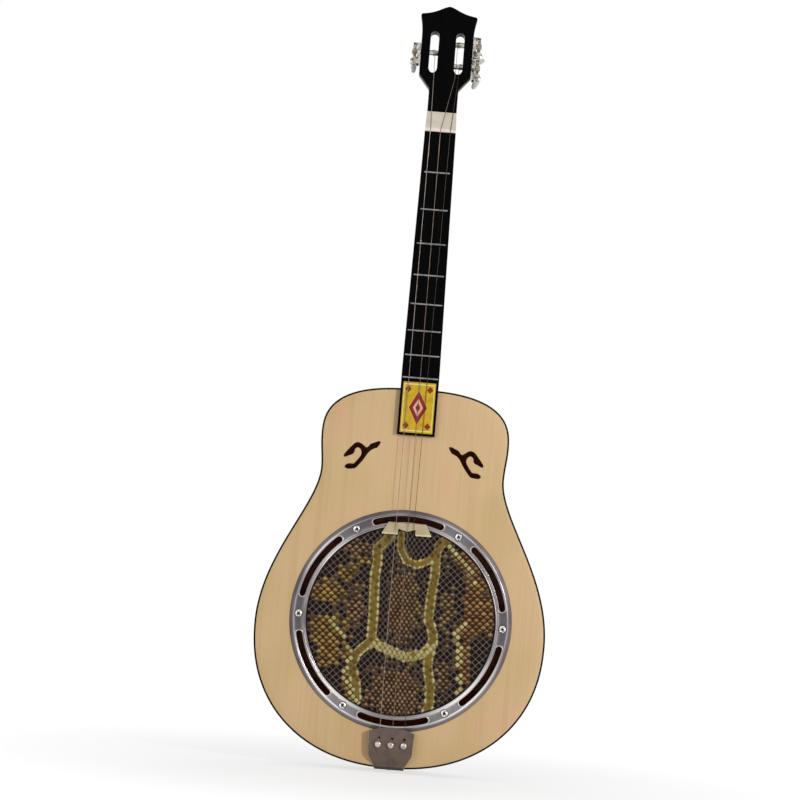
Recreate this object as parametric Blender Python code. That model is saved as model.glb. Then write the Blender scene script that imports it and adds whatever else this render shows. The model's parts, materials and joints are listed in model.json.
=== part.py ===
# Qinqin: a three-string plucked lute with a flat waisted body, a snakeskin head in a slotted metal ring,
# a long fretted neck and a slotted peghead that carries three worm-and-wheel tuners.
#
# Every piece is drawn in the face frame: +X to the player's right as seen from the front, +Y up the neck,
# +Z out of the soundboard, with the origin on the soundboard's top at the centre of the skin.
# The peghead and the tuners are drawn in the head frame, which starts at the neck's end and leans back.
# Two empties then stand the whole instrument upright, so that the hanger point under the peghead
# is the world origin, +Z runs up the neck and the face looks along -Y.

import math

import bmesh
import bpy
from mathutils import Matrix, Vector

# Seats and running gaps
GAP = 0.0003
RUNNING_GAP = 0.0003

# Body outline, all heights measured from the centre of the skin
TAIL_MARGIN = 0.0479
LOWER_BOUT = 0.379
LOWER_BOUT_Y = -0.018
WAIST = 0.2385
WAIST_Y = 0.192
UPPER_BOUT = 0.2444
UPPER_BOUT_Y = 0.234
TOP_Y = 0.3025
LOWER_ROUNDNESS = 2.2
UPPER_ROUNDNESS = 2.7
BOUT_SWEEP = 0.0904
WAIST_SWEEP = 0.0494

# Box
BODY_DEPTH = 0.075
SOUNDBOARD_THICKNESS = 0.003
BACK_THICKNESS = 0.003
BINDING_WIDTH = 0.002
RIM_WALL = 0.004
LINING_WIDTH = 0.006
LINING_HEIGHT = 0.010
BLOCK_WIDTH = 0.058
NECK_BLOCK_LENGTH = 0.036
TAIL_BLOCK_LENGTH = 0.026
BRACE_WIDTH = 0.010
BRACE_HEIGHT = 0.012
TOP_BRACE_MARGIN = 0.014
UPPER_BACK_BRACE_Y = 0.066
LOWER_BACK_BRACE_Y = -0.082
BRACE_END_CLEARANCE = 0.004

# Skin and its hoop
SKIN_RADIUS = 0.1255
SKIN_THICKNESS = 0.0006
SKIN_SINK = 0.0003
HOOP_WALL = 0.0065
HOOP_DEPTH = 0.020
LUG_REACH = 0.0215
LUG_HALF_ANGLE = 7.0
LUG_THICKNESS = 0.010

# Pressed ring over the skin's edge, each width measured outwards from the one before
RING_LAP = 0.0028
BEAD_WIDTH = 0.00545
BEAD_CREST = 0.0039
BEAD_HEIGHT = 0.0023
SLOT_INNER_MARGIN = 0.0005
SLOT_WIDTH = 0.0083
SLOT_OUTER_MARGIN = 0.0006
CHANNEL_LEVEL = 0.0020
CREST_WIDTH = 0.00135
CREST_HEIGHT = 0.0034
FLANGE_WIDTH = 0.0056
RING_SHEET = 0.0010
SLOT_HALF_ANGLE = 18.5
RING_SCREWS = 6
BOARD_HOLE_MARGIN = 0.0001
RING_STEPS = 48
RING_INNER_RADIUS = SKIN_RADIUS - RING_LAP
BEAD_RADIUS = RING_INNER_RADIUS + BEAD_CREST
CHANNEL_START = RING_INNER_RADIUS + BEAD_WIDTH
SLOT_RADIUS = CHANNEL_START + SLOT_INNER_MARGIN + SLOT_WIDTH / 2
CHANNEL_END = SLOT_RADIUS + SLOT_WIDTH / 2 + SLOT_OUTER_MARGIN
CREST_RADIUS = CHANNEL_END + CREST_WIDTH
RING_RADIUS = CREST_RADIUS + FLANGE_WIDTH
BOARD_HOLE_RADIUS = CREST_RADIUS + BOARD_HOLE_MARGIN
TAIL_Y = -(RING_RADIUS + TAIL_MARGIN)
TOP_BRACE_Y = SKIN_RADIUS + LUG_REACH + BRACE_WIDTH / 2 + TOP_BRACE_MARGIN

# Screws
SCREW_HEAD_RADIUS = 0.0046
SCREW_HEAD_HEIGHT = 0.0022
SCREW_SHANK_RADIUS = 0.0016
RING_SCREW_LENGTH = 0.012
TAIL_SCREW_LENGTH = 0.015
CROSS_WIDTH = 0.0009
CROSS_LENGTH = 0.0052
CROSS_DEPTH = 0.0011

# Neck and fingerboard
FINGERBOARD_END_Y = 0.242
TAPER_START_Y = 0.330
NUT_Y = 0.6373
NECK_END_Y = 0.664
NECK_WIDTH = 0.0492
NUT_WIDTH = 0.0403
NECK_END_WIDTH = 0.0382
FINGERBOARD_HEIGHT = 0.0060
HEEL_DEPTH = 0.066
HEEL_RUN = 0.070
NUT_THINNING = 0.015
NECK_DEPTH_LOW = 0.0240
NECK_DEPTH_HIGH = 0.0200
TENON_WIDTH = 0.024
TENON_TOP = 0.016
TENON_DEPTH = 0.040
TENON_LENGTH = 0.018
TENON_ROOT = 0.004
FRETS = 8
FIRST_FRET_STEP = 0.05265
FRET_RATIO = 0.92
FRET_WIDTH = 0.0022
FRET_HEIGHT = 0.0010
FRET_TANG_WIDTH = 0.0007
FRET_TANG_DEPTH = 0.0016
FIRST_FRET_INSET = 0.0040
LAST_FRET_INSET = 0.0012
NUT_HEIGHT = 0.0084
NUT_LIP = 0.0032
NUT_LOW_HEIGHT = 0.0022
NUT_EDGE = 0.0008
PANEL_MARGIN = 0.0033
PANEL_LENGTH = 0.066
PANEL_THICKNESS = 0.0005

# Peghead, in the head frame
HEAD_LEAN = 13.0
HEAD_THICKNESS = 0.015
SHOULDER_Y = 0.0335
SHOULDER_RISE = 0.0145
SHOULDER_EASE = 0.0040
HEAD_WIDTH = 0.0676
HEAD_TOP_WIDTH = 0.0738
HEAD_FLARE_Y = 0.104
HEAD_CORNER_Y = 0.1326
HEAD_CORNER_RADIUS = 0.0028
OGEE_RISE = 0.0117
OGEE_SKEW = 1.5
OGEE_SLANT = 0.45
HEAD_SLOT_X = 0.0166
HEAD_SLOT_WIDTH = 0.011
HEAD_SLOT_LOW = 0.0534
HEAD_SLOT_HIGH = 0.1088
RAMP_WIDTH = 0.0086
RAMP_LENGTH = 0.010
RAMP_DEPTH = 0.0031

# Tuners: side of the head, height of the wheel in the head frame and turn of the button in degrees
LEFT_TUNER_Y = 0.0815
HIGH_TUNER_Y = 0.0945
LOW_TUNER_Y = 0.0650
TUNERS = ((-1, LEFT_TUNER_Y, 90.0), (1, HIGH_TUNER_Y, 12.0), (1, LOW_TUNER_Y, 62.0))
GEAR_TEETH = 14
WORM_PITCH = 0.0038
WORM_PITCH_RADIUS = 0.0046
MESH_CLEARANCE = 0.0001
TOOTH_ADDENDUM = 0.00065
TOOTH_DEDENDUM = 0.00095
TOOTH_TIP = 0.0010
TOOTH_ROOT = 0.0022
GEAR_THICKNESS = 0.0044
GEAR_OUT = 0.0077
THREAD_ROWS = 7
THREAD_END_TAPER = 0.0010
ROLLER_RADIUS = 0.0035
ROLLER_SPIGOT_RADIUS = 0.0024
ROLLER_SEAT_DEPTH = 0.0042
ROLLER_CAP_RADIUS = 0.0040
ROLLER_CAP_HEIGHT = 0.0012
PLATE_THICKNESS = 0.0012
PLATE_ABOVE = 0.0107
PLATE_HEIGHT = 0.0136
RAIL_OUT = 0.0044
FLANGE_OUT = 0.0100
EAR_WIDTH = 0.0084
SHAFT_RADIUS = 0.0019
SHAFT_CAP_RADIUS = 0.0033
SHAFT_CAP_HEIGHT = 0.0013
BUTTON_STANDOFF = 0.0050
BUTTON_LENGTH = 0.0170
BUTTON_WIDTH = 0.0190
BUTTON_THICKNESS = 0.0080

# Strings: diameters, and each one's sideways place at the tail hole, bridge, nut, slot's mouth and roller
WOUND_STRING = 0.0007
PLAIN_STRING = 0.0006
LEFT_TAIL_X = -0.0157
LEFT_BRIDGE_X = -0.0160
LEFT_NUT_X = -0.0131
LEFT_MOUTH_X = -0.0142
LEFT_ROLLER_X = -0.0150
MIDDLE_TAIL_X = 0.0012
MIDDLE_BRIDGE_X = -0.0002
MIDDLE_NUT_X = 0.0002
MIDDLE_MOUTH_X = 0.0134
MIDDLE_ROLLER_X = 0.0138
RIGHT_TAIL_X = 0.0175
RIGHT_BRIDGE_X = 0.0072
RIGHT_NUT_X = 0.0130
RIGHT_MOUTH_X = 0.0178
RIGHT_ROLLER_X = 0.0176
STRINGS = (
    (WOUND_STRING, LEFT_TAIL_X, LEFT_BRIDGE_X, LEFT_NUT_X, LEFT_MOUTH_X, LEFT_ROLLER_X),
    (PLAIN_STRING, MIDDLE_TAIL_X, MIDDLE_BRIDGE_X, MIDDLE_NUT_X, MIDDLE_MOUTH_X, MIDDLE_ROLLER_X),
    (PLAIN_STRING, RIGHT_TAIL_X, RIGHT_BRIDGE_X, RIGHT_NUT_X, RIGHT_MOUTH_X, RIGHT_ROLLER_X),
)
STRING_CLEARANCE = 0.0004
STRING_SINK = 0.0003
SLOT_MOUTH_Y = 0.0460
SLOT_MOUTH_HEIGHT = 0.0009
WINDING_TURNS = 2.3
WINDING_PITCH = 0.0013
LOOP_CLEARANCE = 0.0001
LOOP_LIFT = 0.0004
LOOP_RISE = 0.0006
LOOP_STEPS = 10

# Bridge, lying under the strings with its string edge up on the ring
BRIDGE_X = -0.0015
BRIDGE_SET_BACK = 0.0136
BRIDGE_HEIGHT = 0.0156
BRIDGE_FOOT_WIDTH = 0.0648
BRIDGE_TOP_WIDTH = 0.0490
BRIDGE_FOOT_THICKNESS = 0.0048
BRIDGE_TOP_THICKNESS = 0.0034
BRIDGE_ARCH = ((0.355, 0.0), (0.340, 0.51), (0.123, 0.36), (0.0, 0.31))
BRIDGE_FOOT_Y = BEAD_RADIUS - BRIDGE_SET_BACK

# Tailpiece
TAILPIECE_SHEET = 0.0012
TAILPIECE_MARGIN = 0.0002
TAILPIECE_FRONT_BOW = 0.0065
TAILPIECE_BEND = 0.0233
TAILPIECE_KINK = 0.0300
TAILPIECE_KINK_DROP = 0.0016
TAILPIECE_EDGE_RUN = 0.0045
TAILPIECE_TURN = 0.0016
TAILPIECE_FRONT_WIDTH = 0.0604
TAILPIECE_KINK_WIDTH = 0.0570
TAILPIECE_EDGE_WIDTH = 0.0390
TAILPIECE_DROP = 0.040
TAIL_HOLE_RADIUS = 0.0020
TAIL_HOLE_SETBACK = 0.0081
PIN_SETBACK = 0.0163
PIN_SPACING = 0.0168
PIN_RADIUS = 0.0015
PIN_HEAD_RADIUS = 0.0039
PIN_HEAD_HEIGHT = 0.0014
PIN_HEIGHT = 0.0042
PIN_FOOT_WIDTH = 0.0008
PIN_FOOT_HEIGHT = 0.0007
TAIL_SCREW_HIGH = 0.021
TAIL_SCREW_LOW = 0.032
TAILPIECE_FRONT_Y = -(RING_RADIUS + TAILPIECE_MARGIN)
TAIL_HOLE_Y = TAILPIECE_FRONT_Y - TAIL_HOLE_SETBACK
PIN_Y = TAILPIECE_FRONT_Y - PIN_SETBACK

# Hanger point, on the centre line just under the peghead's shoulders
HANGER_Y = 0.700
HANGER_Z = -0.016

# Left sound hole, cut freehand: a stem that forks into two curled prongs, in shares of its length
SOUND_HOLE_X = 0.0680
SOUND_HOLE_Y = 0.2110
SOUND_HOLE_LENGTH = 0.0460
SOUND_HOLE = (
    (0.50, 0.40), (0.44, 0.42), (0.35, 0.38), (0.24, 0.33), (0.16, 0.24), (0.10, 0.23),
    (0.02, 0.29), (-0.07, 0.34), (-0.14, 0.35), (-0.21, 0.32), (-0.28, 0.25), (-0.45, 0.04),
    (-0.49, -0.04), (-0.46, -0.07), (-0.35, -0.02), (-0.26, 0.02), (-0.22, 0.07), (-0.21, 0.14),
    (-0.17, 0.20), (-0.11, 0.22), (-0.05, 0.19), (-0.01, 0.13), (0.00, 0.05), (-0.03, -0.04),
    (-0.16, -0.22), (-0.21, -0.26), (-0.36, -0.27), (-0.44, -0.34), (-0.42, -0.38), (-0.36, -0.40),
    (-0.19, -0.38), (-0.12, -0.33), (0.04, -0.13), (0.16, 0.07), (0.25, 0.17), (0.35, 0.23),
    (0.42, 0.26),
)

# Colours, then roughness and metallic
FINISHES = {
    "spruce_top": ((0.60, 0.41, 0.22), 0.45, 0.0),
    "black_lacquer": ((0.010, 0.009, 0.009), 0.22, 0.0),
    "inner_wood": ((0.46, 0.30, 0.16), 0.65, 0.0),
    "snake_skin": ((0.10, 0.08, 0.06), 0.45, 0.0),
    "nickel": ((0.62, 0.62, 0.64), 0.22, 1.0),
    "fret_wire": ((0.45, 0.45, 0.46), 0.30, 1.0),
    "bone": ((0.70, 0.64, 0.50), 0.40, 0.0),
    "yellow_panel": ((0.58, 0.40, 0.10), 0.40, 0.0),
    "bronzed_tin": ((0.13, 0.095, 0.075), 0.45, 0.6),
    "string_steel": ((0.55, 0.52, 0.47), 0.30, 1.0),
    "brass_wheel": ((0.60, 0.50, 0.30), 0.28, 1.0),
    "pearl_button": ((0.78, 0.76, 0.72), 0.25, 0.0),
}

# Points along each stretch of the body's outline, and half a side of the twelve-sided holes
LOWER_STEPS = 11
FLANK_STEPS = 7
WAIST_STEPS = 3
UPPER_STEPS = 8
HALF_STEP = math.pi / 12


def clear_scene():
    for old in list(bpy.data.objects):
        bpy.data.objects.remove(old, do_unlink=True)


def finish(name):
    """The named material, made the first time it is asked for."""
    found = bpy.data.materials.get(name)
    if found:
        return found
    colour, roughness, metallic = FINISHES[name]
    made = bpy.data.materials.new(name)
    made.use_nodes = True
    shader = made.node_tree.nodes["Principled BSDF"]
    shader.inputs["Base Color"].default_value = (*colour, 1.0)
    shader.inputs["Roughness"].default_value = roughness
    shader.inputs["Metallic"].default_value = metallic
    return made


def empty(name, parent=None, location=(0.0, 0.0, 0.0), lean=0.0):
    """An empty at this place under its parent, turned by lean degrees about its X axis."""
    holder = bpy.data.objects.new(name, None)
    bpy.context.scene.collection.objects.link(holder)
    holder.parent = parent
    holder.location = location
    holder.rotation_euler = (math.radians(lean), 0.0, 0.0)
    holder.empty_display_size = 0.02
    return holder


def add(name, shape, material, parent, location=(0.0, 0.0, 0.0), smooth=True):
    """A mesh object made from (points, faces), with its faces turned outwards."""
    points, faces = shape
    mesh = bpy.data.meshes.new(name)
    mesh.from_pydata([tuple(point) for point in points], [], faces)
    work = bmesh.new()
    work.from_mesh(mesh)
    bmesh.ops.recalc_face_normals(work, faces=work.faces)
    work.to_mesh(mesh)
    work.free()
    made = bpy.data.objects.new(name, mesh)
    bpy.context.scene.collection.objects.link(made)
    mesh.materials.append(finish(material))
    made.parent = parent
    made.location = location
    if smooth:
        mesh.shade_smooth()
        mesh.set_sharp_from_angle(angle=math.radians(35.0))
    return made


def helper(name, shape, parent, location=(0.0, 0.0, 0.0)):
    """A cutter or a guide, which isn't a piece of the instrument."""
    made = add(name, shape, "inner_wood", parent, location, smooth=False)
    made.hide_render = True
    made.display_type = "WIRE"
    return made


def boolean(target, other, operation="DIFFERENCE"):
    modifier = target.modifiers.new(f"{operation.lower()} {other.name}", "BOOLEAN")
    modifier.operation = operation
    modifier.object = other
    modifier.solver = "EXACT"


def loft(sections):
    """A solid through closed loops of equal length, capped at both ends."""
    count = len(sections[0])
    points = [point for section in sections for point in section]
    faces = []
    for row in range(len(sections) - 1):
        for step in range(count):
            a = row * count + step
            b = row * count + (step + 1) % count
            faces.append((a, b, b + count, a + count))
    faces.append(tuple(reversed(range(count))))
    last = (len(sections) - 1) * count
    faces.append(tuple(range(last, last + count)))
    return points, faces


def prism(outline, low, high):
    """The outline, given as (x, y), from height low to height high."""
    return loft([[(x, y, z) for x, y in outline] for z in (low, high)])


def band(outer, inner, low, high):
    """A closed wall between two outlines of equal length."""
    count = len(outer)
    points = []
    for outline, z in ((outer, low), (outer, high), (inner, high), (inner, low)):
        points += [(x, y, z) for x, y in outline]
    faces = []
    for ring in range(4):
        for step in range(count):
            after = (step + 1) % count
            next_ring = (ring + 1) % 4
            faces.append(
                (
                    ring * count + step,
                    ring * count + after,
                    next_ring * count + after,
                    next_ring * count + step,
                )
            )
    return points, faces


def box(x, y, z):
    """A block between the two values of each pair."""
    return prism([(x[0], y[0]), (x[1], y[0]), (x[1], y[1]), (x[0], y[1])], z[0], z[1])


def circle(radius, steps, centre=(0.0, 0.0), turn=0.0):
    angles = [2.0 * math.pi * step / steps + turn for step in range(steps)]
    return [(centre[0] + radius * math.cos(a), centre[1] + radius * math.sin(a)) for a in angles]


def turned(profile, steps):
    """A profile of (radius, height) revolved about Z: a closed loop, or a line that ends on the axis."""
    on_axis = profile[0][0] == 0.0
    points = []
    index = []
    for radius, height in profile:
        if radius == 0.0:
            index.append([len(points)] * steps)
            points.append((0.0, 0.0, height))
        else:
            index.append(list(range(len(points), len(points) + steps)))
            points += [(x, y, height) for x, y in circle(radius, steps)]
    faces = []
    pairs = list(zip(index, index[1:]))
    if not on_axis:
        pairs.append((index[-1], index[0]))
    for low, high in pairs:
        for step in range(steps):
            after = (step + 1) % steps
            corners = [low[step], low[after], high[after], high[step]]
            faces.append(tuple(dict.fromkeys(corners)))
    return points, faces


def moved(shape, matrix):
    points, faces = shape
    return [matrix @ Vector(point) for point in points], faces


def mirrored(shape, side):
    """The shape as drawn for the right side, or its mirror image for the left one."""
    points, faces = shape
    return [(side * point[0], point[1], point[2]) for point in points], faces


def tube(route, radius, sides):
    """A round cord along the route, with its ring of points carried from point to point without twist."""
    route = [Vector(point) for point in route]
    tangents = []
    for step in range(len(route)):
        before = route[max(step - 1, 0)]
        after = route[min(step + 1, len(route) - 1)]
        tangents.append((after - before).normalized())
    across = tangents[0].orthogonal().normalized()
    sections = []
    for point, tangent in zip(route, tangents):
        across = (across - tangent * across.dot(tangent)).normalized()
        other = tangent.cross(across)
        ring = []
        for step in range(sides):
            angle = 2.0 * math.pi * step / sides
            ring.append(point + radius * (math.cos(angle) * across + math.sin(angle) * other))
        sections.append(ring)
    return loft(sections)


def bezier(start, start_pull, end_pull, end, steps):
    """Points of a cubic curve, without its last point."""
    made = []
    for step in range(steps):
        t = step / steps
        weights = ((1 - t) ** 3, 3 * t * (1 - t) ** 2, 3 * t * t * (1 - t), t**3)
        corners = (start, start_pull, end_pull, end)
        x = sum(weight * corner[0] for weight, corner in zip(weights, corners))
        y = sum(weight * corner[1] for weight, corner in zip(weights, corners))
        made.append((x, y))
    return made


def bout(half_width, height, roundness, centre_y, angles):
    """Points of a superellipse quarter, for angles from the centre line to the widest point."""
    made = []
    for angle in angles:
        x = half_width * abs(math.sin(angle)) ** (2.0 / roundness)
        y = centre_y + height * abs(math.cos(angle)) ** (2.0 / roundness)
        made.append((x, y))
    return made


def body_outline(inset=0.0):
    """The body's outline from the tail up the right side and down the left, moved in by inset."""
    lower_angles = [0.5 * math.pi * step / LOWER_STEPS for step in range(LOWER_STEPS)]
    upper_angles = [0.5 * math.pi * (1 - step / UPPER_STEPS) for step in range(UPPER_STEPS + 1)]
    widest = (LOWER_BOUT / 2, LOWER_BOUT_Y)
    waist = (WAIST / 2, WAIST_Y)
    shoulder = (UPPER_BOUT / 2, UPPER_BOUT_Y)
    half = bout(widest[0], TAIL_Y - LOWER_BOUT_Y, LOWER_ROUNDNESS, LOWER_BOUT_Y, lower_angles)
    half += bezier(
        widest,
        (widest[0], widest[1] + BOUT_SWEEP),
        (waist[0], waist[1] - WAIST_SWEEP),
        waist,
        FLANK_STEPS,
    )
    rise = (shoulder[1] - waist[1]) / 3
    half += bezier(
        waist, (waist[0], waist[1] + rise), (shoulder[0], shoulder[1] - rise), shoulder, WAIST_STEPS
    )
    half += bout(shoulder[0], TOP_Y - UPPER_BOUT_Y, UPPER_ROUNDNESS, UPPER_BOUT_Y, upper_angles)
    half[-1] = (0.0, TOP_Y)
    left = [(-x, y) for x, y in reversed(half[1:-1])]
    loop = half + left
    count = len(loop)
    inner = []
    for step, (x, y) in enumerate(loop):
        before = loop[step - 1]
        after = loop[(step + 1) % count]
        along = Vector((after[0] - before[0], after[1] - before[1])).normalized()
        inner.append((x - inset * along.y, y + inset * along.x))
    return inner


def sound_hole_outline(side):
    """Outline of the sound hole on one side of the neck: -1 is the left one, 1 its mirror image."""
    size = SOUND_HOLE_LENGTH
    return [(side * (SOUND_HOLE_X - size * x), SOUND_HOLE_Y + size * y) for x, y in SOUND_HOLE]


def body_half_width(y, inset):
    """Half the width of the outline, moved in by inset, at this height."""
    outline = body_outline(inset)
    right = outline[: len(outline) // 2 + 1]
    for low, high in zip(right, right[1:]):
        if low[1] <= y <= high[1]:
            share = (y - low[1]) / max(high[1] - low[1], 1e-9)
            return low[0] + share * (high[0] - low[0])
    return 0.0


def neck_half_width(y):
    """Half the width of the neck: level over the body, then tapering to the nut and on to the peghead."""
    if y <= TAPER_START_Y:
        return NECK_WIDTH / 2
    if y <= NUT_Y:
        share = (y - TAPER_START_Y) / (NUT_Y - TAPER_START_Y)
        return (NECK_WIDTH + share * (NUT_WIDTH - NECK_WIDTH)) / 2
    share = (y - NUT_Y) / (NECK_END_Y - NUT_Y)
    return (NUT_WIDTH + share * (NECK_END_WIDTH - NUT_WIDTH)) / 2


def from_head(x, y, z):
    """A point of the head frame, in the face frame."""
    lean = math.radians(HEAD_LEAN)
    return (
        x,
        NECK_END_Y + y * math.cos(lean) + z * math.sin(lean),
        z * math.cos(lean) - y * math.sin(lean),
    )


def screw_head_profile(seat, length):
    """Profile of a round-headed screw that sits at height seat and points down."""
    top = seat + SCREW_HEAD_HEIGHT
    return [
        (0.0, seat - length),
        (SCREW_SHANK_RADIUS, seat - length + SCREW_SHANK_RADIUS),
        (SCREW_SHANK_RADIUS, seat),
        (SCREW_HEAD_RADIUS, seat),
        (SCREW_HEAD_RADIUS * 0.88, seat + SCREW_HEAD_HEIGHT * 0.60),
        (SCREW_HEAD_RADIUS * 0.50, top - SCREW_HEAD_HEIGHT * 0.06),
        (0.0, top),
    ]


def add_screw(name, parent, matrix, length, material="nickel"):
    """A cross-headed screw: its head's underside at the matrix's origin, its shank down that Z."""
    screw = add(name, moved(turned(screw_head_profile(0.0, length), 10), matrix), material, parent)
    half = CROSS_LENGTH / 2
    arm = CROSS_WIDTH / 2
    low = SCREW_HEAD_HEIGHT - CROSS_DEPTH
    plus = [
        (arm, arm), (arm, half), (-arm, half), (-arm, arm), (-half, arm), (-half, -arm),
        (-arm, -arm), (-arm, -half), (arm, -half), (arm, -arm), (half, -arm), (half, arm),
    ]
    cutter = helper(f"{name}_cross", moved(prism(plus, low, 2 * SCREW_HEAD_HEIGHT), matrix), parent)
    boolean(screw, cutter)
    return screw


def screw_hole(name, parent, matrix, length):
    """The cutter for a screw's shank, with its clearance all round."""
    outline = circle(SCREW_SHANK_RADIUS + GAP, 12, turn=HALF_STEP)
    return helper(name, moved(prism(outline, -length - GAP, 2 * SCREW_HEAD_HEIGHT), matrix), parent)


def add_box(instrument):
    """The body: soundboard, bindings, rim, linings, back, blocks and braces."""
    back_z = -BODY_DEPTH
    board_under = -SOUNDBOARD_THICKNESS - GAP
    back_inside = back_z + BACK_THICKNESS + GAP
    plate_outline = body_outline(BINDING_WIDTH + GAP)
    soundboard = add(
        "soundboard", prism(plate_outline, -SOUNDBOARD_THICKNESS, 0.0), "spruce_top", instrument
    )
    opening = helper(
        "soundboard_opening",
        prism(circle(BOARD_HOLE_RADIUS, RING_STEPS), -2 * SOUNDBOARD_THICKNESS, SOUNDBOARD_THICKNESS),
        instrument,
    )
    boolean(soundboard, opening)
    for name, side in (("left", -1), ("right", 1)):
        outline = sound_hole_outline(side)
        cutter = helper(
            f"sound_hole_{name}",
            prism(outline, -2 * SOUNDBOARD_THICKNESS, SOUNDBOARD_THICKNESS),
            instrument,
        )
        boolean(soundboard, cutter)

    add("back_plate", prism(plate_outline, back_z, back_z + BACK_THICKNESS), "black_lacquer", instrument)
    outer = body_outline()
    inner = body_outline(BINDING_WIDTH)
    add("top_binding", band(outer, inner, -SOUNDBOARD_THICKNESS, 0.0), "black_lacquer", instrument)
    add("back_binding", band(outer, inner, back_z, back_z + BACK_THICKNESS), "black_lacquer", instrument)
    rim = add(
        "rim", band(outer, body_outline(RIM_WALL), back_inside, board_under), "black_lacquer", instrument
    )

    lining_outer = body_outline(RIM_WALL + GAP)
    lining_inner = body_outline(RIM_WALL + GAP + LINING_WIDTH)
    lining_spans = {
        "top_lining": (board_under - LINING_HEIGHT, board_under),
        "back_lining": (back_inside, back_inside + LINING_HEIGHT),
    }
    rebates = []
    for name, (low, high) in lining_spans.items():
        low += GAP * (name == "back_lining")
        high -= GAP * (name == "top_lining")
        add(name, band(lining_outer, lining_inner, low, high), "inner_wood", instrument)
        rebate_inner = body_outline(RIM_WALL + LINING_WIDTH + 2 * GAP)
        rebate = band(body_outline(RIM_WALL - GAP), rebate_inner, low - GAP, high + 2 * GAP)
        rebates.append(helper(f"{name}_rebate", rebate, instrument))

    inside = body_outline(RIM_WALL + GAP)
    half = BLOCK_WIDTH / 2
    blocks = {}
    for name, low_y, high_y in (
        ("neck_block", TOP_Y - RIM_WALL - NECK_BLOCK_LENGTH, TOP_Y),
        ("tail_block", TAIL_Y, TAIL_Y + RIM_WALL + TAIL_BLOCK_LENGTH),
    ):
        low_z = back_inside
        high_z = board_under - GAP
        block = add(name, prism(inside, low_z, high_z), "inner_wood", instrument)
        span_z = (low_z - LINING_HEIGHT, high_z + LINING_HEIGHT)
        span = helper(f"{name}_span", box((-half, half), (low_y, high_y), span_z), instrument)
        boolean(block, span, "INTERSECT")
        for rebate in rebates:
            boolean(block, rebate)
        blocks[name] = block

    top_half = body_half_width(TOP_BRACE_Y, RIM_WALL + LINING_WIDTH) - BRACE_END_CLEARANCE
    top_z = board_under - GAP
    add(
        "top_brace",
        box(
            (-top_half, top_half),
            (TOP_BRACE_Y - BRACE_WIDTH / 2, TOP_BRACE_Y + BRACE_WIDTH / 2),
            (top_z - BRACE_HEIGHT, top_z),
        ),
        "inner_wood",
        instrument,
    )
    for number, brace_y in enumerate((UPPER_BACK_BRACE_Y, LOWER_BACK_BRACE_Y), 1):
        brace_half = body_half_width(brace_y, RIM_WALL + LINING_WIDTH) - BRACE_END_CLEARANCE
        add(
            f"back_brace_{number}",
            box(
                (-brace_half, brace_half),
                (brace_y - BRACE_WIDTH / 2, brace_y + BRACE_WIDTH / 2),
                (back_inside, back_inside + BRACE_HEIGHT),
            ),
            "inner_wood",
            instrument,
        )
    return rim, blocks


def ring_profile():
    """Section of the pressed ring: two beads on the skin, a flat channel, a crest and a flange."""
    over = [
        (RING_INNER_RADIUS, GAP),
        (RING_INNER_RADIUS + 0.13 * BEAD_WIDTH, 0.74 * BEAD_HEIGHT),
        (RING_INNER_RADIUS + 0.39 * BEAD_WIDTH, 0.52 * BEAD_HEIGHT),
        (BEAD_RADIUS, BEAD_HEIGHT),
        (RING_INNER_RADIUS + 0.88 * BEAD_WIDTH, 0.80 * CHANNEL_LEVEL),
        (CHANNEL_START, CHANNEL_LEVEL),
        (CHANNEL_END, CHANNEL_LEVEL),
        (CREST_RADIUS, CREST_HEIGHT),
        (RING_RADIUS - 0.26 * FLANGE_WIDTH, 0.50 * CREST_HEIGHT),
        (RING_RADIUS, GAP),
    ]
    under = [
        (RING_RADIUS - RING_SHEET, GAP),
        (CREST_RADIUS - 0.1 * RING_SHEET, CREST_HEIGHT - 1.15 * RING_SHEET),
        (CHANNEL_END, CHANNEL_LEVEL - RING_SHEET),
        (CHANNEL_START, CHANNEL_LEVEL - RING_SHEET),
        (RING_INNER_RADIUS + 0.65 * BEAD_WIDTH, GAP),
    ]
    return over + under


def slot_outline(middle, steps=7, end_steps=4):
    """One of the ring's arc slots, with round ends, its middle at this angle in degrees."""
    start = math.radians(middle - SLOT_HALF_ANGLE)
    end = math.radians(middle + SLOT_HALF_ANGLE)
    half = SLOT_WIDTH / 2
    outline = []
    for radius, first, last in ((SLOT_RADIUS + half, start, end), (SLOT_RADIUS - half, end, start)):
        for step in range(steps + 1):
            angle = first + (last - first) * step / steps
            outline.append((radius * math.cos(angle), radius * math.sin(angle)))
        centre_x, centre_y = SLOT_RADIUS * math.cos(last), SLOT_RADIUS * math.sin(last)
        turn = last if last == end else last + math.pi
        for step in range(1, end_steps):
            angle = turn + math.pi * step / end_steps
            outline.append((centre_x + half * math.cos(angle), centre_y + half * math.sin(angle)))
    return outline


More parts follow.
